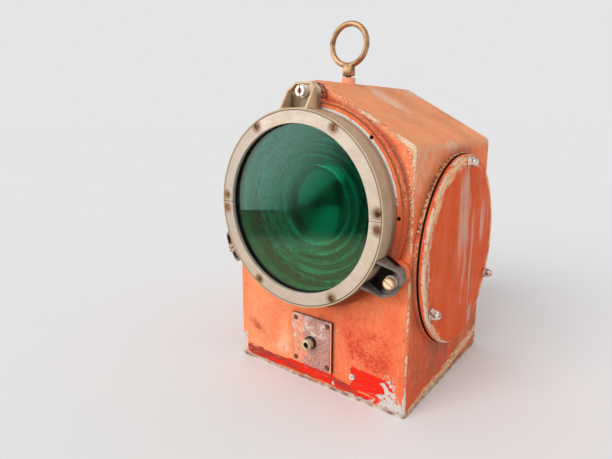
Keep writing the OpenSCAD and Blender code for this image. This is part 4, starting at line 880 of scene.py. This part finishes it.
# The frost is heavier below and to the left, where the painted highlight goes
groove_share = 0.25 + 0.7 * near((pane_turn + 80 + 180) % 360 - 180, 55)
groove_share += 0.4 * near(pane_turn % 360 - 175, 40)
keep_number(lens.data, "groove", pane_front * near(groove_off, 2.6) * groove_share)
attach(lens, "housing")
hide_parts("step_lens")
black_rubber = Finish("black_rubber")
rubber_dust = black_rubber.noise(9, detail=6).ramp(0.45, 0.8, 0.5)
black_rubber.coat(black_rubber.mix(rubber_dust, srgb(22, 21, 20), srgb(70, 66, 60)), 0.7,
                  black_rubber.noise(1.2), depth=0.05)
dress("step_lens_seat", black_rubber)
dress("step_lens_clip", dull_steel)

# Bezel: a cast bronze ring with three pocketed lugs, bolted to the collar over a flat gasket.
# The bronze has gone tan and grey. The lugs' pockets are painted near-black as painted shade, with a painted
# shadow line at the low lugs' roots. The two low lugs are darker.
LUG_FLOOR = 20.5
POCKET_Y = -HALF_D - LUG_FLOOR
LOW_LUGS_TO, UPPER_LUG_FROM = 225, 235
bezel_bronze = Finish("bezel_bronze")
bezel_away = bezel_bronze.off_line((0, 0, LENS_Z), "Y")
bezel_cloud = bezel_bronze.noise(16, detail=7)
bezel_fine = bezel_bronze.noise(2.2, shift=5.5)
bezel_patch = bezel_cloud.ramp(0.4, 0.62)
bezel_low = 1.0 - bezel_bronze.axis("Z").ramp(LOW_LUGS_TO, UPPER_LUG_FROM)
bezel_lug = bezel_away.ramp(BEZEL_R + 0.4, BEZEL_R + 1.2)
bezel_pocket = bezel_bronze.axis("Y").ramp(POCKET_Y - 5, POCKET_Y + 0.5)
bezel_pocket = bezel_pocket * bezel_away.band(BEZEL_R + 0.2, BEZEL_R + 17, 3.0)
# Painted shade: the pockets are filled near-black and made black metal so that they mirror little, and a dark
# line at the low lugs' roots is painted shadow
pocket_shade = bezel_pocket * (bezel_low * 0.35 + 0.6)
lug_root_shadow = bezel_away.band(BEZEL_R + 0.3, BEZEL_R + 1.3, 0.3) * bezel_low
lug_pale = bezel_bronze.mix(bezel_patch, srgb(218, 188, 153), srgb(192, 162, 127))
lug_dark = bezel_bronze.mix(bezel_patch, srgb(128, 116, 107), srgb(88, 79, 72))
bezel_tone = bezel_bronze.layer(srgb(194, 168, 137), (bezel_cloud.ramp(0.3, 0.74), srgb(180, 154, 124)),
                                (bezel_fine.ramp(0.52, 0.76, 0.5), srgb(118, 96, 72)),
                                (bezel_lug, lug_pale), (bezel_low * bezel_lug, lug_dark),
                                (pocket_shade, srgb(12, 9, 8)), (lug_root_shadow * 0.85, srgb(18, 14, 12)))
bezel_bronze.coat(bezel_tone, bezel_cloud.ramp(0.3, 0.7, 0.25) + 0.38, bezel_fine, depth=0.08,
                  metal=pocket_shade * 0.8 + 0.15)
dress("bezel_ring", bezel_bronze, 0.7)
dress("bezel_gasket glass_gasket_rear glass_gasket_front", black_rubber)

# Green glass: a flat disc of dyed signal glass, held in the bezel between two rubber rings.
# Its face is a little wavy, and it is clean.
SIGNAL_GLASS_BEND = 1.52
green_glass = Finish("green_glass")
green_tone = green_glass.mix(green_glass.noise(70, detail=3), srgb(14, 242, 204), srgb(24, 248, 214))
green_glass.coat(green_tone, 0.0, green_glass.noise(45, detail=1), depth=0.02)
green_glass.clear(1.0, SIGNAL_GLASS_BEND)
dress("colour_glass", green_glass, 0.4)

# Retaining ring: two cast half rings that hold the glass, with eight slotted brass screws.
# They are satin tan, greyer on the left and below, with brown stains round the screws and a dark rim.
RING_R = 114.9
RING_SCREW_R = 110.3
RING_SCREW_TURNS = (4.5, 60, 120, 175.5, 184.5, 240, 300, 355.5)
ring_bronze = Finish("ring_bronze")
ring_cloud = ring_bronze.noise(24, detail=7)
ring_fine = ring_bronze.noise(2.0, shift=2.8)
ring_scratch = ring_bronze.noise(3.0, detail=4, stretch=(6, 6, 1), shift=8.1)
ring_left = ring_bronze.axis("X").ramp(-30, -110, 0.62)
ring_low = ring_bronze.axis("Z").ramp(LENS_Z - 40, LENS_Z - 112, 0.4)
ring_stain = round_lens(ring_bronze, RING_SCREW_R, RING_SCREW_TURNS, 3.5, 10)
ring_stain = ring_stain * ring_cloud.ramp(0.26, 0.5, 0.95)
ring_rim = ring_bronze.off_line((0, 0, LENS_Z), "Y").ramp(RING_R - 1.2, RING_R - 0.5, 0.7)
ring_tone = ring_bronze.layer(srgb(210, 193, 176), (ring_cloud.ramp(0.36, 0.7), srgb(193, 174, 156)),
                              (ring_scratch.ramp(0.52, 0.76, 0.45), srgb(168, 150, 132)),
                              (ring_left.most(ring_low), srgb(166, 150, 138)),
                              (ring_stain, srgb(132, 104, 78)), (ring_rim, srgb(74, 60, 48)))
ring_bronze.coat(ring_tone, ring_cloud.ramp(0.3, 0.7, 0.2) + 0.36, ring_fine, depth=0.04, metal=0.15)
dress("retaining_ring_upper retaining_ring_lower", ring_bronze, 0.4)
old_brass = stained_metal("old_brass", srgb(150, 104, 70), srgb(62, 38, 30), metal=0.7, rough=0.35, size=5)
dress("retaining_screws", old_brass, 0.15)

# Lug bolts: round slotted heads on zinc washers, one in the pocket of each lug.
# The upper one is rusty in its middle, the lower ones are brass, and the left one is duller.
BOLT_R = 136.0
LOW_BOLTS_TO, UPPER_BOLT_FROM = 250, 300
OTHER_BOLTS_TO, LEFT_BOLT_FROM = -50, -60
bolt_brass = Finish("bolt_brass")
bolt_cloud = bolt_brass.noise(5, detail=6)
bolt_top_off = bolt_brass.off_line((0, 0, LENS_Z + BOLT_R), "Y")
bolt_right, bolt_down = BOLT_R * math.cos(math.pi / 6), LENS_Z - BOLT_R / 2
bolt_edge = bolt_brass.calc("MINIMUM", bolt_brass.off_line((bolt_right, 0, bolt_down), "Y"),
                            bolt_brass.off_line((-bolt_right, 0, bolt_down), "Y"))
bolt_left = bolt_brass.axis("X").ramp(OTHER_BOLTS_TO, LEFT_BOLT_FROM)
bolt_upper = bolt_brass.mix(bolt_top_off.ramp(2.4, 3.8), srgb(142, 86, 64), srgb(226, 222, 216))
bolt_tone = bolt_brass.layer(srgb(246, 228, 200), (bolt_cloud.ramp(0.5, 0.68, 0.7), srgb(206, 158, 112)),
                             (bolt_edge.ramp(4.2, 5.6, 0.7), srgb(206, 138, 82)),
                             (bolt_left * 0.7, srgb(128, 112, 96)),
                             (bolt_brass.axis("Z").ramp(LOW_BOLTS_TO, UPPER_BOLT_FROM), bolt_upper))
bolt_brass.coat(bolt_tone, bolt_cloud.ramp(0.3, 0.7, 0.3) + 0.3, metal=0.4)
dress("lug_bolts", bolt_brass, 0.5)
zinc = stained_metal("zinc", srgb(222, 220, 214), srgb(168, 158, 146), metal=0.6, rough=0.3, size=6)
dress("lug_washers", zinc, 0.3)

# Side flange: the low cast ring round the side opening, under the cover and its rubber ring.
# Its orange paint has gone brown and dirty, and its face under the cover, seen in the gap, is painted
# near-black as painted shade.
FLANGE_FACE = HALF_W + 4.9
flange_paint = Finish("flange_paint")
flange_away = flange_paint.off_line((0, 0, COVER_Z), "X")
flange_edge = flange_away.ramp(FLANGE_R - 0.5, FLANGE_R + 1.5, 0.36)
# Painted shade: the flange face under the cover, seen in the gap, is near-black
flange_gap_shade = flange_paint.axis("X").ramp(FLANGE_FACE - 0.5, FLANGE_FACE)
flange_gap_shade = flange_gap_shade * flange_away.ramp(FLANGE_R + 0.4, FLANGE_R)
flange_side = flange_paint.axis("Z").ramp(COVER_Z - 30, COVER_Z + 50)
flange_side = flange_side * flange_away.ramp(FLANGE_R - 0.2, FLANGE_R + 0.6)
flange_brown = flange_paint.noise(11, detail=7, shift=2.9).tear(flange_side * 0.62, gain=1.5, soft=0.25)
flange_pale = flange_paint.noise(4, detail=6, shift=5.6).tear(flange_side * 0.46, gain=2.0, soft=0.12)
flange_marks = [(flange_brown * 0.85, srgb(118, 74, 46)), (flange_pale, srgb(226, 186, 142)),
                (flange_gap_shade, srgb(14, 11, 10))]
worn_paint(flange_paint, flange_edge - flange_gap_shade, 0.05, 0.85, flange_marks)
dress("side_flange", flange_paint, 0.3)
dress("cover_gasket", black_rubber)

# Side cover: a round cast lid with a slight crown, closed with three screws.
# Its rim is worn to cream, and grey-white streaks run down from the top screw.
COVER_R = (cover_high.z - cover_low.z) / 2 / MM
COVER_OUT = cover_high.x / MM - HALF_W
COVER_IN = cover_low.x / MM - HALF_W
COVER_BACK = 7.0
COVER_SPIGOT_R = 99.2
COVER_CROWN = 0.7
COVER_ROUND = 2.2
COVER_WAVE = 0.3
COVER_FINE_R = COVER_R - 20
# Streaks: foot, head, softness, across, width and strength
LOW_STREAKS = ((-60, 20, 50, 5, 12, 0.6),)
RIGHT_STREAKS = ((0, 55, 30, 67, 8, 0.75), (10, 75, 30, 95, 8, 0.5))
FOOT_STREAKS = ((-118, -85, 16, 40, 10, 1.0), (-70, 30, 40, 30, 5, 0.6))
STREAK_WIDTH = ([-10, 60, 108], [24, 22, 9])


def runs(across, up, places):
    """Sum of streaks, each given as (foot, head, softness, across, width, strength)."""
    return sum(strength * between(up, foot, head, soft) * near(across - middle, width)
               for foot, head, soft, middle, width, strength in places)


crown_r = np.concatenate([np.linspace(0, COVER_FINE_R, 28)[:-1],
                          np.linspace(COVER_FINE_R, COVER_R - COVER_ROUND, 18)])
crown_rows = np.column_stack([crown_r, COVER_OUT - COVER_CROWN * (crown_r / COVER_R) ** 4])
round_centre = (COVER_R - COVER_ROUND, COVER_OUT - COVER_CROWN - COVER_ROUND)
cover_rows = np.vstack([crown_rows, arc_rows(round_centre, COVER_ROUND, 84, 0, 5),
                        [[COVER_R, COVER_BACK], [COVER_SPIGOT_R, COVER_BACK], [COVER_SPIGOT_R, COVER_IN],
                         [0, COVER_IN]]])
cover_points, cover_faces = lathe(cover_rows, 180)
cover_points = cover_points[:, [2, 0, 1]] + [HALF_W, 0, COVER_Z]
cover_paint = Finish("cover_paint")
cover = mesh_object("cover", cover_points, cover_faces, cover_paint, sharp=45)
lid = vertex_array(cover.data)
lid_normal = vertex_array(cover.data, "normal")
lid_face = lid[:, 0] > HALF_W + COVER_OUT - 3
lid += lid_normal * (waves(lid, 90, 8) * COVER_WAVE * lid_face)[:, None]
cover.data.vertices.foreach_set("co", (lid * MM).ravel())
lid_y, lid_z = lid[:, 1], lid[:, 2] - COVER_Z
lid_r = np.hypot(lid_y, lid_z)
lid_turn = np.degrees(np.arctan2(lid_z, -lid_y)) % 360
lid_broken = 0.85 + 0.7 * waves(lid, 40, 11)
rim_in = COVER_R - np.interp(lid_y, [-70, 20], [3.2, 1.8])
rim_line = between(lid_r, rim_in, COVER_R + 4, 2.0) * np.interp(lid_y, [-60, 40, 90], [0.7, 0.62, 0.64])
inner_line = near(lid_r - (COVER_R - 9.5), 2.6) * between(lid_turn, 0, 100, 50) * 0.4
left_wear = between(lid_turn, -40, 12, 30) * 0.5 + between(lid_turn, 318, 400, 20) * 0.45
left_wear *= near(lid_r - (COVER_R - 10), 8)
brushed_left = near(lid_r - (COVER_R - 6), 8) * between(lid_turn, 12, 112, 40) * 0.8
brushed_low = near(lid_r - (COVER_R - 4), 6) * ((lid_turn < 12) | (lid_turn > 300)) * 0.55
brushed_right = near(lid_r - (COVER_R - 4), 6) * between(lid_turn, 130, 235, 40) * 0.78
keep_number(cover.data, "brushed", lid_face * np.maximum.reduce([brushed_left, brushed_low, brushed_right]))
keep_number(cover.data, "rim", lid_face * lid_broken * (rim_line + inner_line + left_wear))
streak_top = between(lid_z, -10, 112, 70) * near(lid_y + 2, np.interp(lid_z, *STREAK_WIDTH))
streaks = [streak_top] + [runs(lid_y, lid_z, places) for places in (LOW_STREAKS, RIGHT_STREAKS, FOOT_STREAKS)]
keep_number(cover.data, "streak", lid_face * np.maximum.reduce(streaks))
cover_run = cover_paint.noise(7, detail=7, stretch=(1, 1, 8), shift=4.9)
cover_wipe = cover_paint.noise(30, detail=7, stretch=(1, 1, 3), shift=2.7)
cover_stain = cover_paint.noise(40, detail=7, shift=8.8)
cover_brush = cover_paint.noise(2.4, detail=6, stretch=(1, 12, 1), shift=6.8,
                                place=cover_paint.round_place(COVER_Z, COVER_R))
cover_streak = cover_run.tear(cover_paint.attribute("streak"), gain=2.6, soft=0.3)
brushed = cover_paint.attribute("brushed")
cover_worn = cover_brush.tear(brushed, gain=3.0, soft=0.2) * brushed.ramp(0.08, 0.4)
cover_marks = [(cover_wipe.tear(0.74, soft=0.35), srgb(228, 88, 34)),
               (cover_stain.ramp(0.5, 0.7, 0.55), srgb(188, 80, 36)),
               (cover_streak * 0.7, srgb(216, 180, 160)),
               (cover_worn * 0.9, srgb(252, 204, 154))]
worn_paint(cover_paint, cover_paint.attribute("rim"), 0.0, 0.1, cover_marks, cream=srgb(236, 190, 150))
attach(cover, "cover_unit")
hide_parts("side_cover")
cover_steel = stained_metal("cover_steel", srgb(232, 224, 214), srgb(128, 72, 48), metal=0.5, rough=0.3,
                            size=4)
dress("cover_screws", cover_steel, 0.4)
dress("cover_washers", cover_steel, 0.2)

# Gland plate: a square plate with four countersunk screws over a black gasket.
# Its paint is worn to mauve-grey with remains of white and orange, and its side and top edges are painted
# near-black as painted shade.
PLATE_HALF_W, PLATE_TOP, PLATE_EDGE = 31.0, 92.9, 0.4
plate_paint = Finish("plate_paint")
plate_x, plate_z = plate_paint.axis("X"), plate_paint.axis("Z")
plate_cloud = plate_paint.noise(7, detail=8)
plate_fleck = plate_paint.noise(3, detail=6, shift=3.3)
plate_grain = plate_paint.noise(1.2, detail=4, shift=9.2)
plate_spots = plate_fleck.ramp(0.4, 0.62)
plate_worn = plate_x.ramp(-34, 14) - plate_x.ramp(27.5, 30.5)
plate_mauve = plate_paint.mix(plate_spots, srgb(200, 146, 132), srgb(160, 107, 98))
plate_flakes = plate_z.ramp(20, 84, 0.44) - plate_x.ramp(0, 26, 0.16)
plate_ragged = (plate_fleck + plate_paint.noise(9, shift=1.7)) * 0.5
# Painted shade: the plate's side and top edges are near-black
plate_side_shade = plate_paint.calc("ABSOLUTE", plate_x).ramp(PLATE_HALF_W, PLATE_HALF_W + PLATE_EDGE)
plate_top_shade = plate_z.ramp(PLATE_TOP, PLATE_TOP + PLATE_EDGE, 0.6)
plate_tone = plate_paint.layer(srgb(244, 148, 104), (plate_spots, srgb(226, 142, 114)),
                               (plate_cloud.tear(plate_worn, gain=3.2, soft=0.15), plate_mauve),
                               (plate_ragged.tear(plate_flakes, gain=3.0, soft=0.14), srgb(218, 204, 194)),
                               (plate_grain.ramp(0.56, 0.68, 0.55), srgb(120, 72, 62)),
                               (plate_side_shade.most(plate_top_shade), srgb(34, 26, 24)))
plate_paint.coat(plate_tone, plate_cloud.ramp(0.3, 0.7, 0.25) + 0.5, plate_fleck, depth=0.2)
dress("gland_plate", plate_paint, 0.4)
dress("gland_plate_gasket", black_rubber)
rusty_steel = stained_metal("rusty_steel", srgb(142, 72, 46), srgb(52, 30, 24), metal=0.1, rough=0.5, size=3)
dress("gland_plate_screws", rusty_steel, 0.2)

# Gland: a brass body through the wall with a lock nut, a seal and a round nut in front.
# The nut is cream-coloured brass with brown stains, and the flange behind it is nearly black.
gland_brass = stained_metal("gland_brass", srgb(218, 202, 166), srgb(146, 122, 84), metal=0.35, rough=0.4,
                            size=6)
dress("gland_nut", gland_brass, 0.6)
gland_black = stained_metal("gland_black", srgb(40, 36, 34), srgb(76, 58, 48), metal=0.4, rough=0.45, size=7)
dress("gland_body", gland_black, 0.2)
dress("gland_locknut", gland_black, 0.3)
dress("gland_seal", black_rubber)

# Earth screw: a small round-headed steel screw low on the front.
# It has gone white and dull with a dark middle, in a ring scraped to bare metal.
earth_white = Finish("earth_white")
earth_middle = earth_white.off_line((EARTH_X, 0, EARTH_Z), "Y").ramp(1.5, 0.8, 0.85)
earth_cloud = earth_white.noise(3, detail=7)
earth_tone = earth_white.layer(srgb(236, 234, 228), (earth_cloud.ramp(0.42, 0.66), srgb(180, 170, 160)),
                               (earth_middle, srgb(84, 76, 68)))
earth_white.coat(earth_tone, 0.5, metal=0.2)
dress("earth_screw", earth_white, 0.25)

# Lifting eye: a bronze ring forged on a flat shank, screwed on a steel stud through the roof.
# It is brown and satin, with fine brighter spots.
eye_low, eye_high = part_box("lifting_eye")
EYE_STOCK_R = 3.6
EYE_RING_R = (eye_high.x - eye_low.x) / 2 / MM - EYE_STOCK_R
EYE_Z = eye_high.z / MM - EYE_RING_R - EYE_STOCK_R
SHANK_FOOT = eye_low.z / MM
SHANK_HEAD = EYE_Z - EYE_RING_R
SHANK_HALF_W, SHANK_HALF_T = 7.75, 4.5


def tube_ring(radius, stock, turns, sides):
    """Ring in the plane y = 0: ((R + s cos v) cos u, s sin v, (R + s cos v) sin u)."""
    turn = np.linspace(0, 2 * math.pi, turns, endpoint=False)[:, None]
    side = np.linspace(0, 2 * math.pi, sides, endpoint=False)
    reach = radius + stock * np.cos(side)
    points = np.stack([reach * np.cos(turn), np.broadcast_to(stock * np.sin(side), (turns, sides)),
                       reach * np.sin(turn)], axis=-1)
    here = np.arange(sides)
    beside = (here + 1) % sides
    end = (turns - 1) * sides
    seam = np.stack([here + end, beside + end, beside, here], axis=1)
    return points.reshape(-1, 3), np.vstack([grid_faces(turns, sides, closed=True), seam])


def pillow_column(rows, sides=48, power=5.0):
    """Column of rounded rectangles: rows hold (height, half width, half thickness) from foot to head.

    Each section is (a c |c|^(2/p - 1), b s |s|^(2/p - 1)) for cosine c and sine s, and both ends close."""
    turn = np.linspace(0, 2 * math.pi, sides, endpoint=False)
    round_x = np.sign(np.cos(turn)) * np.abs(np.cos(turn)) ** (2 / power)
    round_y = np.sign(np.sin(turn)) * np.abs(np.sin(turn)) ** (2 / power)
    height, wide, deep = np.asarray(rows, dtype=float).T
    points = np.stack([wide[:, None] * round_x, deep[:, None] * round_y,
                       np.broadcast_to(height[:, None], (len(height), sides))], axis=-1)
    return points.reshape(-1, 3), grid_faces(len(height), sides, closed=True)


ring_points, ring_faces = tube_ring(EYE_RING_R, EYE_STOCK_R, 96, 24)
shank_rows = [(SHANK_FOOT, 0, 0), (SHANK_FOOT, 6.9, 3.8), (SHANK_FOOT + 0.8, SHANK_HALF_W, SHANK_HALF_T),
              (SHANK_HEAD - 4, SHANK_HALF_W, SHANK_HALF_T), (SHANK_HEAD - 1, 7.2, 4.2),
              (SHANK_HEAD + 1.5, 6.0, 3.6), (SHANK_HEAD + 1.5, 0, 0)]
shank_points, shank_faces = pillow_column(shank_rows)
eye_parts = [(ring_points + [0, BOSS_Y, EYE_Z], ring_faces), (shank_points + [0, BOSS_Y, 0], shank_faces)]
eye_bronze = Finish("eye_bronze")
eye_cloud = eye_bronze.noise(12, detail=7)
eye_fine = eye_bronze.noise(1.8, shift=1.4)
eye_tone = eye_bronze.layer(srgb(185, 144, 107), (eye_cloud.ramp(0.36, 0.7), srgb(125, 93, 66)),
                            (eye_fine.ramp(0.58, 0.75, 0.25), srgb(214, 182, 146)))
eye_bronze.coat(eye_tone, eye_cloud.ramp(0.3, 0.7, 0.25) + 0.22, eye_fine, depth=0.03, metal=0.75)
eye = mesh_object("eye_ring", *join(eye_parts), eye_bronze, sharp=50)
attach(eye, "eye")
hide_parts("lifting_eye")
dark_steel = stained_metal("dark_steel", srgb(52, 48, 46), srgb(84, 62, 50), metal=0.6, rough=0.4, size=5)
dress("eye_stud", dark_steel)
dress("eye_washer", dull_steel)
dress("eye_nut", dull_steel, 0.3)

# Lamp: a bent steel bracket with a ceramic holder, a brass bayonet sleeve and a clear bulb.
# The bracket carries the bulb behind the lens, and the bulb turns in the sleeve's slots.
bracket_zinc = stained_metal("bracket_zinc", srgb(176, 172, 160), srgb(124, 104, 82), metal=0.7, rough=0.4,
                             size=18)
dress("lamp_bracket", bracket_zinc, 0.3)
dress("bracket_screws", dull_steel, 0.2)
lamp_ceramic = Finish("lamp_ceramic")
ceramic_cloud = lamp_ceramic.noise(12, detail=6)
ceramic_tone = lamp_ceramic.mix(ceramic_cloud.ramp(0.45, 0.75), srgb(226, 220, 206), srgb(188, 174, 150))
lamp_ceramic.coat(ceramic_tone, ceramic_cloud.ramp(0.3, 0.7, 0.2) + 0.2)
dress("lampholder_base", lamp_ceramic, 0.5)
lamp_brass = stained_metal("lamp_brass", srgb(198, 164, 98), srgb(138, 102, 58), metal=0.9, rough=0.25,
                           size=8)
dress("lampholder_shell lampholder_screws lampholder_contacts bulb_cap", lamp_brass, 0.2)
dress("bulb_glass", clear_glass)
bulb_wire = stained_metal("bulb_wire", srgb(120, 116, 110), srgb(72, 68, 64), metal=0.9, rough=0.3, size=3)
dress("bulb_mount", bulb_wire)

# Terminals: a ceramic block on the floor of the housing, with brass screws.
# Two wires in dusty plastic sheaths, brown and blue, run from it to the lamp.
dress("terminal_block", lamp_ceramic, 0.5)
dress("terminal_screws", lamp_brass, 0.2)
for wire, sheath_name, light, dark in (
        ("wire_live", "wire_brown", srgb(112, 66, 40), srgb(84, 52, 36)),
        ("wire_return", "wire_blue", srgb(48, 84, 138), srgb(44, 66, 100))):
    sheath = Finish(sheath_name)
    sheath.coat(sheath.mix(sheath.noise(8).ramp(0.4, 0.7), light, dark), 0.5)
    dress(wire, sheath)
